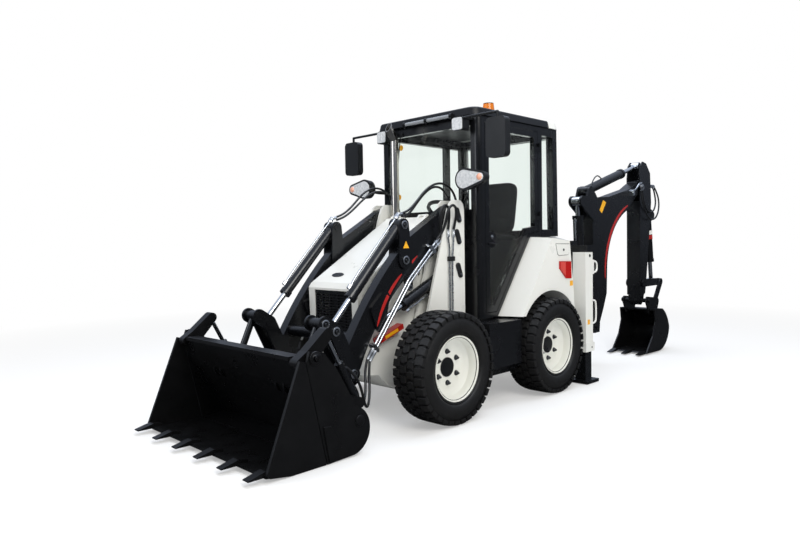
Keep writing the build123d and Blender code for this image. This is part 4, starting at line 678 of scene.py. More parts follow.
@dataclass
class Studio:
    """Pale floor, soft light and the camera at the photograph's view."""

    camera_place: tuple[float, float, float] = (4.509, 3.592, 1.253)
    yaw_deg: float = 225.23
    pitch_deg: float = -2.2
    roll_deg: float = -0.93
    focal_px: float = 650.6
    image_width_px: float = 800
    sensor_mm: float = 36
    floor_half_m: float = 40
    aim_height_m: float = 0.9

    def camera(self) -> None:
        """Set the camera from the solved position, angles and focal length."""
        yaw, pitch, roll = np.radians([self.yaw_deg, self.pitch_deg, self.roll_deg])
        ahead = np.array([np.cos(yaw) * np.cos(pitch), np.sin(yaw) * np.cos(pitch), np.sin(pitch)])
        right = np.cross(ahead, Z_AXIS)
        right /= np.linalg.norm(right)
        up = np.cross(right, ahead)
        tilted_right = right * np.cos(roll) + up * np.sin(roll)
        tilted_up = up * np.cos(roll) - right * np.sin(roll)
        data = bpy.data.cameras.new("camera")
        data.sensor_width = self.sensor_mm
        data.lens = self.focal_px / self.image_width_px * self.sensor_mm
        data.clip_end = 200
        camera = put("camera", data)
        camera.matrix_world = posed(tilted_right, tilted_up, -ahead, self.camera_place)
        bpy.context.scene.camera = camera

    @staticmethod
    def backdrop_rays(tree: bpy.types.NodeTree) -> tuple:
        """Tell rays that see a backdrop, straight or through glass, from rays that only mirror it.

        Args:
            tree: the backdrop's node tree.

        Returns:
            Output sockets that are 1 for a seen ray and 1 for a mirrored ray.
        """
        rays = add_node(tree, "ShaderNodeLightPath").outputs
        seen = add_node(tree, "ShaderNodeMath", {
            0: rays["Is Camera Ray"], 1: rays["Is Transmission Ray"]}, operation="MAXIMUM")
        mirrored = add_node(tree, "ShaderNodeMath", {
            0: rays["Is Glossy Ray"], 1: seen.outputs[0]}, operation="SUBTRACT", use_clamp=True)
        return seen.outputs[0], mirrored.outputs[0]

    def floor(self) -> None:
        """Lay the pale floor, which keeps the object's shadow."""
        half = self.floor_half_m
        mesh = bpy.data.meshes.new("floor")
        corners = [(-half, -half, 0), (half, -half, 0), (half, half, 0), (-half, half, 0)]
        mesh.from_pydata(corners, [], [[0, 1, 2, 3]])
        paint = bpy.data.materials.new("floor_paper")
        paint.use_nodes = True
        tree = paint.node_tree
        tree.nodes.clear()
        through, mirrored = self.backdrop_rays(tree)
        tone = add_node(tree, "ShaderNodeMix", {
            "Factor": mirrored, "A": linear("#F6F6F5"), "B": linear("#4A4C50")}, data_type="RGBA")
        matt = add_node(tree, "ShaderNodeBsdfDiffuse", {"Color": tone.outputs["Result"]})
        glow = add_node(tree, "ShaderNodeEmission", {"Color": linear("#FFFFFF"), "Strength": 1})
        place = add_node(tree, "ShaderNodeTexCoord").outputs["Object"]
        reach = add_node(tree, "ShaderNodeVectorMath", {0: place}, operation="LENGTH")
        share = add_node(tree, "ShaderNodeMapRange", {
            "Value": reach.outputs["Value"], "From Min": 2.2, "From Max": 8, "To Min": 0.33, "To Max": 1})
        seen = add_node(tree, "ShaderNodeMath", {
            0: through, 1: share.outputs["Result"]}, operation="MULTIPLY")
        mixed = add_node(tree, "ShaderNodeMixShader", {
            0: seen.outputs[0], 1: matt.outputs[0], 2: glow.outputs[0]})
        add_node(tree, "ShaderNodeOutputMaterial", {"Surface": mixed.outputs[0]})
        mesh.materials.append(paint)
        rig.stage(put("floor", mesh))

    def light(self) -> None:
        """Set a bright room and three broad lamps."""
        scene = bpy.context.scene
        scene.view_settings.view_transform = "Standard"
        world = bpy.data.worlds.new("studio")
        scene.world = world
        world.use_nodes = True
        tree = world.node_tree
        tree.nodes.clear()
        through, mirrored = self.backdrop_rays(tree)
        place = add_node(tree, "ShaderNodeTexCoord").outputs["Generated"]
        height = add_node(tree, "ShaderNodeSeparateXYZ", {0: place})
        sky = add_node(tree, "ShaderNodeMapRange", {
            "Value": height.outputs["Z"], "From Min": 0, "From Max": 0.75, "To Min": 0.14, "To Max": 0.95})
        lit = add_node(tree, "ShaderNodeMix", {"Factor": mirrored, "A": 0.5, "B": sky.outputs["Result"]})
        hue = add_node(tree, "ShaderNodeMix", {
            "Factor": mirrored, "A": linear("#FFFFFF"), "B": linear("#DCE8FF")}, data_type="RGBA")
        power = add_node(tree, "ShaderNodeMix", {"Factor": through, "A": lit.outputs["Result"], "B": 1})
        room = add_node(tree, "ShaderNodeBackground", {
            "Color": hue.outputs["Result"], "Strength": power.outputs["Result"]})
        add_node(tree, "ShaderNodeOutputWorld", {"Surface": room.outputs[0]})
        for name, place, size, watts, code in (("key", (3, 5.5, 5.5), 4, 310, "#FFFDF8"),
                                               ("top", (-0.5, 0, 7), 6, 380, "#E6EFFF"),
                                               ("front", (7, -2, 3.5), 4, 110, "#F4F8FF")):
            data = bpy.data.lights.new(name, "AREA")
            data.shape = "DISK"
            data.size = size
            data.energy = watts
            data.color = linear(code)[:3]
            up, first, second = frame_of(np.array(place) - [0, 0, self.aim_height_m])
            put(name, data).matrix_world = posed(first, second, up, place)


@dataclass
class Wheels:
    """Tyres with interlocking tread blocks and dished rims with their nuts."""

    wheelbase: float = 1255
    radius: float = 387
    half_width: float = 132
    plane_y: float = 646
    bead_radius: float = 210
    tread_depth: float = 15
    blocks_round: int = 36
    nut_circle: float = 108
    nut_seat: float = 14
    nuts: int = 6

    def tyre(self, name: str, centre: np.ndarray, hand: int) -> None:
        """Build one tyre: a turned carcass, and block rows that are prisms between two radii.

        Args:
            name: the wheel's corner.
            centre: the wheel's centre, in metres.
            hand: 1 on the left, -1 on the right.
        """
        shape = Surface()
        tread = self.radius - self.tread_depth
        half = self.half_width
        turn = np.radians(np.linspace(-62, 58, 15))
        side = np.stack([self.bead_radius + 85 + 62 * np.sin(turn), half - 30 + 30 * np.cos(turn)], 1)
        rib = [self.bead_radius, half] + np.array([[0, -26], [20, -24], [26, -17], [34, -19]])
        shoulder = [tread, half] + np.array([[-8, -18], [0, -32]])
        flank = np.concatenate([rib, side[2:], shoulder])
        profile = np.concatenate([flank, flank[::-1] * [1, -1]])
        shape.lathe(profile, centre, (0, hand, 0), 96, ring=True)
        pitch = 2 * np.pi / self.blocks_round
        inner = np.array([[-0.40, 4], [0.30, 4], [0.46, 33], [0.34, 60], [-0.38, 60], [-0.24, 33]])
        outer = np.array([[-0.42, 67], [0.34, 67], [0.40, 98], [0.34, half], [-0.40, half], [-0.34, 98]])
        turns = np.arange(self.blocks_round) * pitch
        for outline, start in ((inner, 0), (outer, 0.5), (-inner, 0.55), (-outer, 0.05)):
            middle = outline.mean(0)
            top = middle + (outline - middle) * [0.88, 0.92]
            drop = 9 * (np.abs(outline[:, 1]) / half) ** 6
            nets = []
            for plan, reach in ((outline, tread - 14 - drop), (outline, self.radius - 4 - drop),
                                (top, self.radius - drop)):
                angle = turns[:, None] + (plan[:, 0] + start) * pitch
                across = np.broadcast_to(hand * plan[:, 1], angle.shape)
                nets.append(np.stack([reach * np.cos(angle), across, reach * np.sin(angle)], -1))
            for block in centre + np.stack(nets, 1) * MM:
                shape.grid(block, wrap_v=True, caps=True)
        made = shape.piece(f"tyre_tread_{name}", f"wheel_{name}", TYRE_RUBBER, "tyre_rubber")
        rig.replaces(made, f"tyre_{name}")

    def rim(self, name: str, centre: np.ndarray, hand: int) -> None:
        """Build one rim: a turned barrel and dished disc, and a ring of nuts on it."""
        section = [(224, 114), (224, 108), (214, 102), (207, 92), (203, 70), (201, 44), (194, 36),
                   (178, 31), (172, 24), (160, 19), (150, 15), (68, 14), (66.6, 12), (66.6, 5), (150, 5),
                   (190, 8), (196, -30), (198, -80), (208, -100), (224, -108), (224, -114), (209, -113),
                   (209, -20), (209, 100), (218, 114)]
        axis = (0, hand, 0)
        dish = Surface().lathe(section, centre, axis, 72, ring=True)
        made = dish.piece(f"rim_dish_{name}", f"wheel_{name}", RIM_PAINT, "rim_paint")
        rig.replaces(made, f"rim_{name}")
        up, first, second = frame_of(np.array(axis))
        studs = Surface()
        for step in np.radians(np.arange(self.nuts) * 360 / self.nuts + 30):
            out = np.cos(step) * first + np.sin(step) * second
            place = centre + (self.nut_circle * out + self.nut_seat * up) * MM
            studs.turned([(19, 0), (19, 3.5)], place, axis, 20)
            studs.turned([(15, 3.5), (15, 15), (12, 18)], place, axis, 6)
            studs.turned([(8, 18), (8, 27), (6.5, 29)], place, axis, 14)
        studs.piece(f"wheel_nuts_{name}", f"wheel_{name}", DARK_STEEL, "rod_chrome")

    def build(self) -> None:
        """Build all four wheels."""
        rear = -self.wheelbase
        for name, x, hand in (("fl", 0, 1), ("fr", 0, -1), ("rl", rear, 1), ("rr", rear, -1)):
            centre = at(x, hand * self.plane_y, self.radius)
            self.tyre(name, centre, hand)
            self.rim(name, centre, hand)


def arc(start: tuple, middle: tuple, end: tuple, count: int = 24) -> np.ndarray:
    """Points along the circle through three points of the side view.

    The centre is where the two chords' middle lines meet, and the points step evenly in angle round it.

    Args:
        start: the first point, as (x, z) in millimetres.
        middle: a point that the circle passes.
        end: the last point.
        count: how many points.

    Returns:
        The points, one row each.
    """
    a, b, c = (np.array(p, float) for p in (start, middle, end))
    chords = np.stack([b - a, c - b])
    halves = np.array([(b - a) @ (a + b) / 2, (c - b) @ (b + c) / 2])
    centre = np.linalg.solve(chords, halves)
    angles = np.unwrap([np.arctan2(*(p - centre)[::-1]) for p in (a, b, c)])
    turn = np.linspace(angles[0], angles[2], count)
    return centre + np.linalg.norm(a - centre) * np.stack([np.cos(turn), np.sin(turn)], 1)


@dataclass
class LoaderTrim:
    """Stripe, blank plates, pin rings, keeper bars and bolt heads of the loader."""

    arm_face: float = 402.5
    bracket_face: float = 418.5
    bracket_top: float = 893
    knee_face: float = 422.5
    lever_face: float = 444.5
    lug_face: float = 380
    tower_face: float = 426.5
    keeper_depth: float = 16
    bucket_face: float = 725
    film: float = 1
    knee_pins: tuple = ((150, 1368), (140, 1123))
    lever_pins: tuple = ((790, 697), (875, 750), (650, 411))
    keepers: tuple = ((-396, 1480), (-392, 1318), (-402, 1066))

    def stripe(self) -> None:
        """Lay the red stripe: a band along an arc by the arm's lower edge, and a dash above it."""
        line = arc((166, 1028), (326, 850), (404, 690), 49)
        share = np.linspace(0, 1, len(line))
        widths = 5 + 21 * np.sqrt(np.sin(np.pi * share))
        raised = line[:, 1] < self.bracket_top
        arm, bracket = self.arm_face, self.bracket_face
        band = Surface().ribbon(line[~raised], widths[~raised], arm, arm + self.film)
        band.ribbon(line[raised] + [16, 0], widths[raised], bracket, bracket + self.film)
        dash = np.linspace((66, 1104), (8, 1150), 4)
        band.ribbon(dash, np.linspace(22, 5, 4), arm, arm + self.film)
        band.piece("arm_stripe", "arms", RED_PAINT, "red_paint")

    def plates(self) -> None:
        """Add the blank yellow plates of the left arm and the red bar."""
        face = self.bracket_face
        arm = Surface().plate([(136, 1256), (164, 1206), (107, 1206)], face, face + self.film)
        foot = np.array([683, 326])
        along = np.array([-0.656, 0.755]) * 40
        side = np.array([0.755, 0.656]) * 19
        corners = [foot + along + side, foot + along - side, foot - along - side, foot - along + side]
        arm.plate(corners, self.arm_face, self.arm_face + self.film)
        arm.piece("arm_plates", "arms", YELLOW_FILM, "amber_lens")
        bar = Surface().plate([(280, 584), (288, 604), (164, 647), (156, 626)], 352, 353)
        bar.piece("lock_bar_plate", "machine", YELLOW_FILM, "amber_lens")

    def pin_rings(self) -> None:
        """Ring each pin with a plated washer, and close it with a dark bolt head."""
        washer = [[20, 0], [30, 0], [30, 3], [28, 4], [20, 4]]
        head = [(11, 0), (11, 6), (9, 8)]
        for body, pins, face, name in (("arms", self.knee_pins, self.knee_face, "knee"),
                                       ("levers", self.lever_pins, self.lever_face, "lever")):
            rings = Surface()
            heads = Surface()
            for (x, z), hand in ((pin, hand) for pin in pins for hand in (-1, 1)):
                place = at(x, hand * face, z)
                rings.lathe(washer, place, (0, hand, 0), 32, ring=True)
                heads.turned(head, place, (0, hand, 0), 6)
            rings.piece(f"{name}_washers", body, ZINC_PLATE, "rod_chrome")
            heads.piece(f"{name}_bolts", body, DARK_STEEL, "rod_chrome")

    def tower_keepers(self) -> None:
        """Add the pin keepers: black bars with round ends on the towers' outer faces, each with a bolt."""
        bars = Surface()
        bolts = Surface()
        turn = full_turn(28)
        ends = np.where((turn > np.pi)[:, None], [[26, -72]], [[0, 0]]) * [-1, 1]
        rim = np.stack([21 * np.cos(turn - 0.33), 21 * np.sin(turn - 0.33)], 1) + ends
        for (x, z), hand in ((keeper, hand) for keeper in self.keepers for hand in (-1, 1)):
            face = hand * self.tower_face
            top = face + hand * self.keeper_depth
            bars.plate(rim + [x, z], face, top)
            bolts.turned([(10, 0), (10, 7)], at(x - 24, top, z - 66), (0, hand, 0), 6)
        bars.piece("tower_keepers", "machine", SEAL_RUBBER, "black_paint", bevel=4)
        bolts.piece("keeper_bolts", "machine", ZINC_PLATE, "rod_chrome")

    def arm_lug(self) -> None:
        """Hang the small lug with its ringed pin under the left arm, and bolt the pipes' upper clamp."""
        outline = [(112, 1000), (22, 1046), (36, 912), (50, 902), (66, 904), (78, 918)]
        lug = Surface().plate(outline, 350, self.lug_face)
        lug.piece("arm_lug", "arms", BLACK_PAINT, "black_paint", bevel=3)
        washer = [(11, 0), (20, 0), (20, 4), (11, 4)]
        ring = Surface().lathe(washer, at(57, self.lug_face, 926), Y_AXIS, 28, ring=True)
        for x, z in ((-92, 1222), (-142, 1168)):
            ring.turned([(11, 0), (11, 9), (9, 11)], at(x, self.arm_face, z), Y_AXIS, 6)
        ring.piece("arm_lug_ring", "arms", ZINC_PLATE, "rod_chrome")

    def bucket_caps(self) -> None:
        """Add the round caps and the corner plates on the bucket's sides."""
        caps = Surface()
        for hand in (-1, 1):
            face = hand * self.bucket_face
            axis = (0, hand, 0)
            jaw_pin = at(1174, face, 617)
            caps.turned([(34, 0), (34, 7), (30, 9)], at(857, face, 205), axis, 32)
            caps.turned([(40, 0), (40, 9), (36, 11)], jaw_pin, axis, 32)
            caps.turned([(14, 11), (14, 19)], jaw_pin, axis, 6)
            corner = [(1128, 224), (1075, 219), (1000, 80), (1046, 84), (1090, 14)]
            caps.plate(corner, face, face + hand * 9)
        caps.piece("bucket_caps", "bucket", BUCKET_PAINT, "black_paint", bevel=1.5)

    def build(self) -> None:
        """Add all of the loader's trim."""
        self.stripe()
        self.plates()
        self.pin_rings()
        self.tower_keepers()
        self.arm_lug()
        self.bucket_caps()


@dataclass
class Hydraulics:
    """Steel lines on cylinders and towers, their fittings, and the rubber hoses between them."""

    arm_y: float = 365
    knee: tuple = (150, 1368)
    rod_pin: tuple = (790, 697)
    lift_base: tuple = (-400, 1050)
    lift_eye: tuple = (385, 690)
    line_radius: float = 8
    pipe_y: float = 430.5
    tower_line_y: float = 440
    tower_face: float = 426.5

    def beside(self, start: tuple, end: tuple, reach: float, y: float, along: float) -> tuple:
        """A place beside a cylinder's axis, which is given in the side view.

        Args:
            start: the axis's first point.
            end: its second point.
            reach: how far from the axis, on the left of its direction.
            y: the plane that the place lies in.
            along: how far from the first point.

        Returns:
            The place's x, y and z.
        """
        axis = np.subtract(end, start, dtype=float)
        axis /= np.linalg.norm(axis)
        x, z = np.array(start) + axis * along + np.array([-axis[1], axis[0]]) * reach
        return x, y, z

    def cylinder_lines(self) -> None:
        """Run a bright line along each tilt barrel and each lift barrel, with a fitting at its ends."""
        tilt = Surface()
        lift = Surface()
        for hand in (-1, 1):
            y = hand * self.arm_y
            barrel = (self.knee, self.rod_pin)
            port = self.beside(*barrel, 22, y - 12, 626)
            low, middle = (self.beside(*barrel, 40, y - 26, along) for along in (600, 300))
            top = self.beside(*barrel, 40, y - 22, -46)
            tilt.tube(smooth_path([port, low, middle, top]), self.line_radius)
            tilt.turned([(17, -22), (17, 6), (14, 10), (14, 26)], at(*top), (-0.6, 0, 0.8), 6)
            tilt.turned([(13, 0), (13, 44)], at(top[0] - 8, y - 22, top[2] + 12), (-1, 0, 0.16), 6)
            tilt.turned([(14, -16), (14, 14)], at(low[0], y - 22, low[2]), (0.69, 0, -0.724), 6)
            barrel = (self.lift_base, self.lift_eye)
            down = (0.909, 0, -0.417)
            gland = self.beside(*barrel, -34, y, 572)
            foot, clip, head = (self.beside(*barrel, -56, y + hand * 6, along) for along in (560, 330, 150))
            lift.tube(smooth_path([gland, foot, clip, head]), 6)
            lift.turned([(12, -14), (12, 14)], at(*foot), down, 6)
            lift.turned([(15, -9), (15, 9)], at(*clip), down, 12)
        tilt.piece("tilt_lines", "tilt_barrels", ZINC_PLATE, "rod_chrome")
        lift.piece("lift_lines", "lift_barrels", ZINC_PLATE, "rod_chrome")

    def tower_lines(self) -> None:
        """Run the two lines down the left tower, from the hose ends to their bend into the plate."""
        lines = Surface()
        y = self.tower_line_y
        for x, middle_x, foot_x in ((-285, -298, -297), (-346, -341, -328)):
            route = [(x, y, 1330), (x, y, 1270), (middle_x, y, 1215), (foot_x, y, 1110), (foot_x, y, 700),
                     (foot_x, y - 2, 622), (foot_x, y - 20, 604)]
            lines.tube(smooth_path(route), 7)
            lines.turned([(13, 0), (13, 26), (11, 30), (11, 58)], at(x, y, 1280), Z_AXIS, 6)
        lines.piece("tower_lines", "machine", ZINC_PLATE, "rod_chrome")
        block = [(-352, 1102), (-352, 1136), (-286, 1136), (-286, 1102)]
        clamp = Surface().plate(block, self.tower_face, self.tower_line_y + 10)
        clamp.piece("line_clamp", "machine", SEAL_RUBBER, "black_plastic", bevel=3)

    def arm_fittings(self) -> None:
        """Cap the arm's pipes with hose ends at the top and at the foot."""
        ends = Surface()
        top = (-0.745, 0, 0.667)
        foot = (0.618, 0, -0.786)
        for shift in (-13, 13):
            upper = at(-167 + shift * 0.66, self.pipe_y, 1235 + shift * 0.75)
            ends.turned([(14, -12), (14, 10), (12, 14), (12, 40)], upper, top, 6)
            lower = at(473 + shift * 0.79, self.pipe_y, 530 + shift * 0.62)
            ends.turned([(14, -16), (14, 16), (12, 20), (12, 66)], lower, foot, 6)
        ends.piece("arm_hose_ends", "arms", ZINC_PLATE, "rod_chrome")

    def hose(self, name: str, points: list[tuple[float, float, float]], bodies: tuple[str, str],
             bend: tuple[float, float], diameter: float = 17) -> None:
        """Add one hose: a tube along the spline of its control points, which bends between two bodies.

        Args:
            name: the hose's name.
            points: control points from the first body to the second, in millimetres.
            bodies: the two bodies that a joint connects.
            bend: where along x the hose leaves the first body's motion and takes up the second's.
            diameter: outer diameter in millimetres.
        """
        path = smooth_path(points)
        made = Surface().tube(path, diameter / 2, 14).piece(name, None, HOSE_RUBBER, "black_plastic")
        start, end = (tuple(at(x, points[0][1], points[0][2])) for x in bend)
        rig.blend(made, *bodies, start=start, end=end)
        length = float(np.linalg.norm(np.diff(path, axis=0), axis=1).sum())
        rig.cord(made, exit=tuple(path[0]), length=length, diameter=diameter * MM, far_end="object",
                stiffness="stiff", lay="loose", path=path.tolist())
        LOG.info("%s is %.0f mm long", name, length / MM)

    def hoses(self) -> None:
        """Add the hoses in view: over the towers, at the arm's foot and on the backhoe."""
        self.hose("arm_hose_left_front", [
            (-184, 430.5, 1240), (-203, 434, 1272), (-200, 442, 1330), (-188, 450, 1395),
            (-182, 456, 1450), (-196, 461, 1494), (-233, 463, 1515), (-271, 460, 1495), (-287, 453, 1450),
            (-289, 446, 1392), (-285, 440, 1332)], ("arms", "machine"), (-198, -282), 20)
        self.hose("arm_hose_left_rear", [
            (-167, 430.5, 1259), (-195, 440, 1294), (-222, 456, 1344), (-234, 468, 1402),
            (-238, 477, 1454), (-254, 482, 1496), (-294, 483, 1516), (-334, 477, 1496), (-350, 466, 1452),
            (-352, 453, 1394), (-346, 440, 1334)], ("arms", "machine"), (-240, -342), 20)
        self.hose("tilt_hose_left_outer", [
            (96, 343, 1452), (58, 342, 1462), (6, 338, 1484), (-74, 332, 1546), (-160, 326, 1621),
            (-262, 322, 1676), (-372, 322, 1690), (-460, 326, 1652), (-508, 332, 1572), (-514, 336, 1480),
            (-514, 336, 1400)], ("arms", "machine"), (-60, -490))
        self.hose("tilt_hose_left_inner", [
            (92, 343, 1430), (46, 340, 1440), (-10, 334, 1470), (-88, 318, 1534), (-176, 304, 1602),
            (-276, 292, 1656), (-372, 284, 1664), (-452, 278, 1622), (-502, 274, 1552), (-509, 273, 1484),
            (-510, 272, 1424)], ("arms", "machine"), (-60, -490))
        self.hose("tilt_hose_right_outer", [
            (96, -387, 1452), (54, -388, 1464), (-4, -392, 1490), (-76, -394, 1540), (-140, -394, 1600),
            (-210, -390, 1660), (-300, -382, 1698), (-390, -372, 1692), (-470, -360, 1640),
            (-512, -350, 1560), (-516, -344, 1470), (-516, -342, 1400)], ("arms", "machine"), (-60, -490))
        self.hose("tilt_hose_right_inner", [
            (92, -387, 1430), (44, -386, 1442), (-14, -384, 1470), (-84, -378, 1520), (-150, -370, 1578),
            (-224, -358, 1636), (-310, -342, 1670), (-396, -322, 1656), (-466, -304, 1604),
            (-502, -290, 1530), (-507, -283, 1472), (-508, -280, 1420)], ("arms", "machine"), (-60, -490))
        self.hose("clam_hose_front", [
            (524, 430.5, 486), (544, 434, 446), (560, 446, 390), (576, 466, 330), (604, 494, 276),
            (654, 534, 246), (718, 580, 252), (770, 618, 300), (800, 642, 358),
            (836, 655, 396)], ("arms", "bucket"), (560, 800))
        self.hose("clam_hose_rear", [
            (504, 430.5, 470), (520, 440, 424), (534, 456, 364), (552, 478, 300), (586, 510, 244),
            (640, 556, 216), (704, 606, 240), (750, 640, 310), (790, 656, 400), (838, 660, 470),
            (896, 657, 516)], ("arms", "bucket"), (540, 800))
        self.hose("dipper_hose_front", [
            (-3448, 456, 1770), (-3462, 456, 1700), (-3492, 456, 1626), (-3560, 452, 1556),
            (-3650, 450, 1524), (-3750, 446, 1546), (-3814, 440, 1620), (-3826, 430, 1710),
            (-3804, 420, 1790)], ("boom", "dipper"), (-3480, -3740))
        self.hose("dipper_hose_rear", [
            (-3414, 456, 1766), (-3424, 462, 1680), (-3452, 468, 1590), (-3524, 468, 1500),
            (-3630, 466, 1446), (-3750, 462, 1458), (-3846, 456, 1530), (-3886, 448, 1640),
            (-3870, 436, 1740), (-3820, 424, 1806)], ("boom", "dipper"), (-3450, -3760))
        self.hose("dipper_barrel_hose", [
            (-2434, 410, 1752), (-2462, 407, 1796), (-2518, 398, 1838), (-2594, 380, 1870),
            (-2676, 362, 1878), (-2750, 354, 1850)], ("boom", "dipper_barrel"), (-2470, -2740), 12)

    def build(self) -> None:
        """Add all lines, fittings and hoses."""
        self.hoses()
        self.cylinder_lines()
        self.tower_lines()
        self.arm_fittings()


@dataclass
class HoeTrim:
    """Stripe, blank plates, line and fittings of the backhoe."""

    boom_face: float = 414
    dipper_face: float = 429
    centre_y: float = 354
    tip_line_y: float = 456
    eye_y: float = 745
    film: float = 1

    def marks(self) -> None:
        """Lay the boom's red stripe along an arc beside its concave edge, and its yellow plate."""
        line = arc((-3196, 1592), (-2858, 1346), (-2704, 850), 32)
        share = np.linspace(0, 1, len(line))
        widths = 10 + 26 * np.sin(np.pi * (1 - share)) ** 0.6
        band = Surface().ribbon(line, widths, self.boom_face, self.boom_face + self.film)
        band.piece("boom_stripe", "boom", RED_PAINT, "red_paint")
        plate = Surface().plate([(-2668, 1632), (-2728, 1612), (-2640, 1500), (-2594, 1530)],
                                self.boom_face, self.boom_face + self.film)
        plate.piece("boom_plate", "boom", YELLOW_FILM, "amber_lens")

    def barrel_marks(self) -> None:
        """Run the bright line up the boom barrel, and band the bucket barrel in red, with a white ring just above the
        band as a painted highlight.
        """
        y = self.centre_y
        line = Surface()
        route = [(-2262, y, 690), (-2257, y, 1000), (-2232, y, 1420), (-2240, y, 1452)]
        line.tube(smooth_path(route), 8)
        line.turned([(14, -16), (14, 16)], at(-2234, y, 1420), Z_AXIS, 6)
        line.piece("boom_line", "boom_barrel", ZINC_PLATE, "rod_chrome")
        down = (-0.127, 0, -0.992)
        band = [[40, 0], [43, 0], [43, 46], [40, 46]]
        red = Surface().lathe(band, at(-3818, y, 1282), down, 40, ring=True)
        red.piece("hoe_barrel_band", "hoe_barrel", RED_PAINT, "red_paint")
        # White body paint in a ring just above the red band: a painted highlight on the red cap.
        pale = Surface().lathe(band, at(-3811, y, 1334), down, 40, ring=True)
        pale.piece("hoe_barrel_painted_highlight", "hoe_barrel", WHITE_PAINT, "white_paint")

    def fittings(self) -> None:
        """Add hose ends at the boom's tip and behind the dipper, and rings on the visible pins."""
        ends = Surface()
        collar = [(15, 0), (15, 24), (12, 28), (12, 58)]
        y = self.tip_line_y
        for x, z in ((-3448, 1815), (-3414, 1811)):
            ends.turned(collar, at(x, y, z), (0, 0, -1), 6)
            route = [(x, y, z - 20), (x, y, z + 24), (x + 40, y, z + 20), (-3300, y, z - 46),
                     (-3212, y, z - 92)]
            ends.tube(smooth_path(route), 8)
        ends.plate([(-3250, 1700), (-3206, 1690), (-3206, 1744), (-3250, 1764)], self.boom_face, 470)
        ends.piece("boom_hose_ends", "boom", ZINC_PLATE, "rod_chrome", bevel=2)
        rear = Surface()
        for x, y, z in ((-3800, 420, 1790), (-3814, 424, 1806)):
            rear.tube([at(-3690, y - 14, z + 24), at(x + 8, y - 4, z + 22), at(x, y, z)], 11)
        rear.piece("dipper_hose_ends", "dipper", ZINC_PLATE, "rod_chrome")
        washer = [[22, 0], [30, 0], [30, 3], [22, 3]]
        rings = Surface().lathe(washer, at(-3500, self.dipper_face + 8, 1800), Y_AXIS, 32, ring=True)
        rings.piece("dipper_washers", "dipper", ZINC_PLATE, "rod_chrome")

    def column_eyes(self) -> None:
        """Add the lashing bars behind each stabilizer column and the dark pin ends on its outer face."""
        eyes = Surface()
        pins = Surface()
        short_bar = [(-1816, 1058), (-1890, 1056), (-1922, 1036), (-1924, 978), (-1892, 956), (-1816, 952)]
        long_bar = [(-1816, 716), (-1876, 714), (-1902, 690), (-1904, 536), (-1878, 512), (-1816, 508)]
        foot = [(-1818, 1068), (-1858, 1068), (-1858, 942), (-1818, 942)]
        for hand in (-1, 1):
            plane = hand * self.eye_y
            for bar in (short_bar, long_bar):
                eyes.tube(smooth_path([(x, plane, z) for x, z in bar]), 8)
            eyes.plate(foot, plane - 9, plane + 9)
            for x, y, z, radius in ((-1773, 760, 1104, 14), (-1786, 770, 310, 8)):
                pins.turned([(radius, 0), (radius, 1)], at(x, hand * y, z), (0, hand, 0), 24)
        eyes.piece("column_eyes", "machine", WHITE_PAINT, "white_paint", bevel=1.2)
        pins.piece("column_pins", "machine", BLACK_PLASTIC, "black_plastic")

    def build(self) -> None:
        """Add the backhoe's trim."""
        self.column_eyes()
        self.marks()
        self.barrel_marks()
        self.fittings()


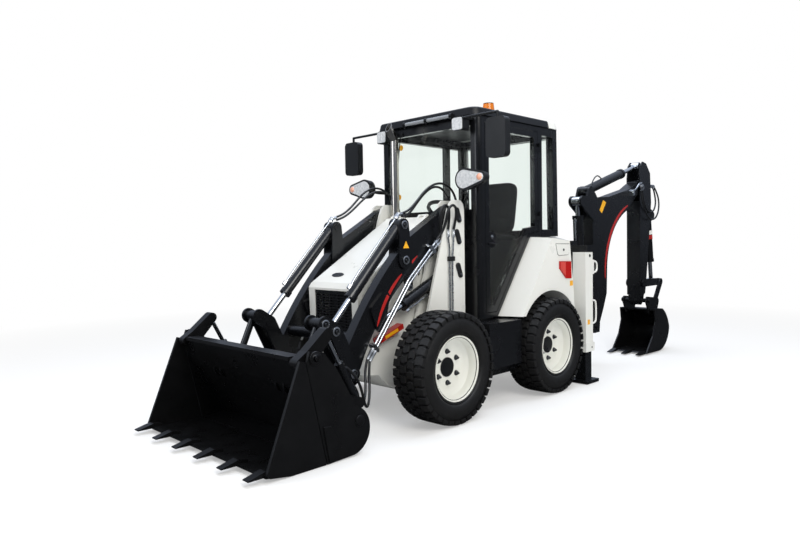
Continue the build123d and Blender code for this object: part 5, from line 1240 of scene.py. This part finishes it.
@dataclass
class CabTrim:
    """Seat, wiper, roof bar, mirror glass, lamp details and small plates of the cab and rear body."""

    fender_face: float = 700
    roof_bar: tuple = (-474, 2206)

    def cushion(self, name: str, centre: np.ndarray, half: tuple[float, float, float], lean_deg: float,
                seams: tuple[float, ...]) -> bpy.types.Object:
        """Build a crowned cushion: a rounded box whose upper face swells and sinks again along its seams.

        The box is a superellipsoid, where each coordinate is a signed power of a sine or cosine. The swell
        is a product of two parabolas, and each seam is a narrow bell curve taken from it.

        Args:
            name: the cushion's name.
            centre: its middle, in metres.
            half: half its length, width and thickness, in millimetres.
            lean_deg: turn about the cross axis.
            seams: places of the lengthwise seams, as shares of the half width.

        Returns:
            The cushion.
        """
        around = np.linspace(-np.pi, np.pi, 96, endpoint=False)
        rise = np.linspace(-np.pi / 2, np.pi / 2, 49)[:, None]
        x = signed_power(np.cos(rise), 0.35) * signed_power(np.cos(around), 0.3)
        y = signed_power(np.cos(rise), 0.35) * signed_power(np.sin(around), 0.3)
        z = np.broadcast_to(signed_power(np.sin(rise), 0.45), x.shape)
        swell = (1 - x ** 2) * (1 - y ** 2)
        groove = sum(np.exp(-((y - seam) / 0.05) ** 2) for seam in seams)
        groove = groove + np.exp(-((x - 0.45) / 0.04) ** 2)
        top = np.where(z > 0, z * 0.80 + 0.20 * z * swell ** 0.5 - 0.13 * z * groove, z)
        turn = np.radians(lean_deg)
        local = np.stack([x * half[0], y * half[1], top * half[2]], -1)
        net = np.stack([local[..., 0] * np.cos(turn) - local[..., 2] * np.sin(turn), local[..., 1],
                        local[..., 0] * np.sin(turn) + local[..., 2] * np.cos(turn)], -1)
        shape = Surface().grid(centre + net * MM, wrap_v=True)
        made = shape.piece(name, "machine", SEAT_CLOTH, "seat_fabric")
        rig.padded(made, fill=0.8)
        return made

    def seat(self) -> None:
        """Upholster the seat: a flat cushion and a leaning back, both with two seams."""
        base = self.cushion("seat_base", at(-1220, 0, 1250), (219, 239, 59), 0, (-0.5, 0.5))
        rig.replaces(base, "operator_seat")
        self.cushion("seat_back", at(-1422, 0, 1536), (226, 229, 46), -80.5, (-0.5, 0.5))

    def screen(self) -> None:
        """Add the wiper, the bar over the screen with its clips, and two blank plates on the glass."""
        arm = Surface().tube([at(-528, -280, 2136), at(-538, -309, 2037), at(-552, -340, 1900)], 5)
        arm.lathe([[0, 0], [20, 0], [17, 14], [0, 16]], at(-545, -280, 2140), X_AXIS, 20)
        blade = [at(-553, -326, 2010), at(-541, -326, 2010), at(-541, -366, 1716), at(-553, -366, 1716)]
        arm.prism(blade, (0, -0.008, 0))
        arm.piece("wiper", "machine", BLACK_PLASTIC, "black_plastic")
        x, z = self.roof_bar
        bar = Surface().tube([at(x, y, z) for y in (-170, 80, 330)], 14, 20)
        bar.piece("roof_bar", "machine", BAR_GREY, "black_plastic")
        clips = Surface()
        for y in (-176, 62, 322):
            clips.turned([(20, -12), (20, 12)], at(x, y, z), Y_AXIS, 16)
            clips.plate([(-490, 2196), (-468, 2196), (-468, 2180), (-490, 2180)], y - 9, y + 9)
        clips.piece("roof_bar_clips", "machine", BLACK_PLASTIC, "black_plastic")
        discs = Surface()
        for y, z in ((-313, 2041), (-344, 1627)):
            discs.turned([(24, 0), (24, 1)], at(-564.2, y, z), X_AXIS, 24)
        discs.piece("screen_plates", "machine", YELLOW_FILM, "amber_lens")

    def lamps(self) -> None:
        """Add the lamps' amber ends, the mirrors' glass and the beacon's foot."""
        amber = Surface()
        glass = Surface()
        turn = full_turn(48)
        corner = signed_power(np.cos(turn), 0.4)
        height = signed_power(np.sin(turn), 0.4)
        dome = [(0, 0), (24, 0), (21, 5), (12, 8), (0, 9)]
        for hand in (-1, 1):
            amber.lathe(dome, at(-339, hand * 692, 1706), X_AXIS, 32)
            rim = np.stack([np.zeros(48), 76 * corner, 132 * height], 1) * MM + at(-473, hand * 782, 1985)
            glass.prism(rim, (-0.002, 0, 0))
        amber.piece("lamp_amber_ends", "machine", AMBER_CAP, "amber_lens")
        glass.piece("mirror_glass", "machine", LAMP_MIRROR, "rod_chrome")
        steps = [(58, -4), (56, 8), (50, 12), (48.4, 12), (48.4, 0)]
        foot = Surface().turned(steps, at(-800, 430, 2257), Z_AXIS, 40)
        foot.piece("beacon_foot", "machine", BLACK_PLASTIC, "black_plastic")

    def door_lock(self) -> None:
        """Add the lock barrel and the pull on the door's round boss."""
        lock = Surface().turned([(13, 0), (13, 4), (10, 6)], at(-696, 530, 1278), Y_AXIS, 24)
        lock.piece("door_lock", "door", ZINC_PLATE, "rod_chrome")
        grip = [(-666, 530, 1226), (-666, 552, 1226), (-690, 556, 1222), (-728, 552, 1222),
                (-728, 530, 1222)]
        pull = Surface().tube(smooth_path(grip), 8)
        pull.piece("door_pull", "door", BLACK_PLASTIC, "black_plastic")

    def rear_marks(self) -> None:
        """Add the fender's filler flap with its lock, the amber reflectors and the small column plate."""
        face = self.fender_face
        flap = Surface().plate([(-1330, 1212), (-1540, 1208), (-1526, 1128), (-1508, 1120),
                                (-1376, 1118), (-1356, 1128)], face, face + 3)
        lock = Surface().turned([(11, 0), (11, 3)], at(-1445, face + 3, 1162), Y_AXIS, 20)
        amber = Surface().plate([(-1546, 856), (-1546, 898), (-1588, 898), (-1588, 856)], face, face + 4)
        flap.piece("filler_flap", "machine", WHITE_PAINT, "white_paint", bevel=1.2)
        seal = Surface().plate([(-1326, 1216), (-1544, 1212), (-1530, 1126), (-1509, 1116),
                                (-1374, 1114), (-1352, 1125)], face, face + 0.8)
        seal.piece("filler_seal", "machine", SEAL_RUBBER, "black_plastic")
        lock.piece("filler_lock", "machine", DARK_STEEL, "rod_chrome")
        amber.plate([(-1732, 510), (-1732, 552), (-1770, 552), (-1770, 510)], 760, 761)
        amber.piece("amber_reflectors", "machine", YELLOW_FILM, "amber_lens")
        # A paler red panel on the tail lamp: a painted highlight where its facets catch the light.
        band = Surface().plate([(-1384, 1062), (-1456, 1059), (-1456, 946), (-1384, 1004)], 712, 716)
        band.piece("tail_lamp_painted_highlight", "machine", TAIL_LAMP_PAINTED_HIGHLIGHT, "red_lens", bevel=1.5)

    def badge(self) -> None:
        """Set the bare oval badge on the hood's slope: an ellipse turned into the slope's plane."""
        turn = full_turn(48)
        slope = np.array([0.8526, 0, -0.5225])
        normal = np.array([0.5225, 0, 0.8526])
        rim = (26 * np.cos(turn)[:, None] * slope + 62 * np.sin(turn)[:, None] * np.array(Y_AXIS)) * MM
        seat = at(358, -58, 1018.4)
        oval = Surface().prism(rim + seat, normal * 0.004)
        oval.piece("hood_badge", "hood", DARK_STEEL, "rod_chrome", bevel=1.5)

    def build(self) -> None:
        """Add all of the cab's trim."""
        self.seat()
        self.screen()
        self.lamps()
        self.door_lock()
        self.rear_marks()
        self.badge()


@dataclass
class CadFinishes:
    """The finishes of the CAD pieces that stay in view."""

    finishes: dict[str, Finish] = field(default_factory=lambda: dict(NODE_FINISHES))

    def dress(self, nodes: dict[str, bpy.types.Object]) -> None:
        """Give each CAD piece its finish.

        Args:
            nodes: the frame's CAD objects by name.
        """
        for name, finish in self.finishes.items():
            data = nodes[name].data
            data.materials.clear()
            data.materials.append(finish.material())


@dataclass
class SizeLog:
    path: str = "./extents.json"
    cad: list = field(default_factory=list)

    def start(self) -> None:
        """Keep the box of the CAD model."""
        self.cad = [list(corner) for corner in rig.bounds()]

    def write(self) -> None:
        """Write both boxes as plain numbers."""
        visual = [list(corner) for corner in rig.bounds()]
        with open(self.path, "w", encoding="utf-8") as out:
            json.dump({"cad": self.cad, "visual": visual}, out)


def main() -> None:
    """Build the scene's pieces in order."""
    logging.basicConfig(level=logging.INFO, format="%(name)s: %(message)s")
    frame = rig.load()
    sizes = SizeLog()
    sizes.start()
    studio = Studio()
    studio.camera()
    studio.floor()
    studio.light()
    Hydraulics().build()
    CadFinishes().dress(frame["nodes"])
    Wheels().build()
    LoaderTrim().build()
    HoeTrim().build()
    CabTrim().build()
    sizes.write()


if __name__ == "__main__":
    main()
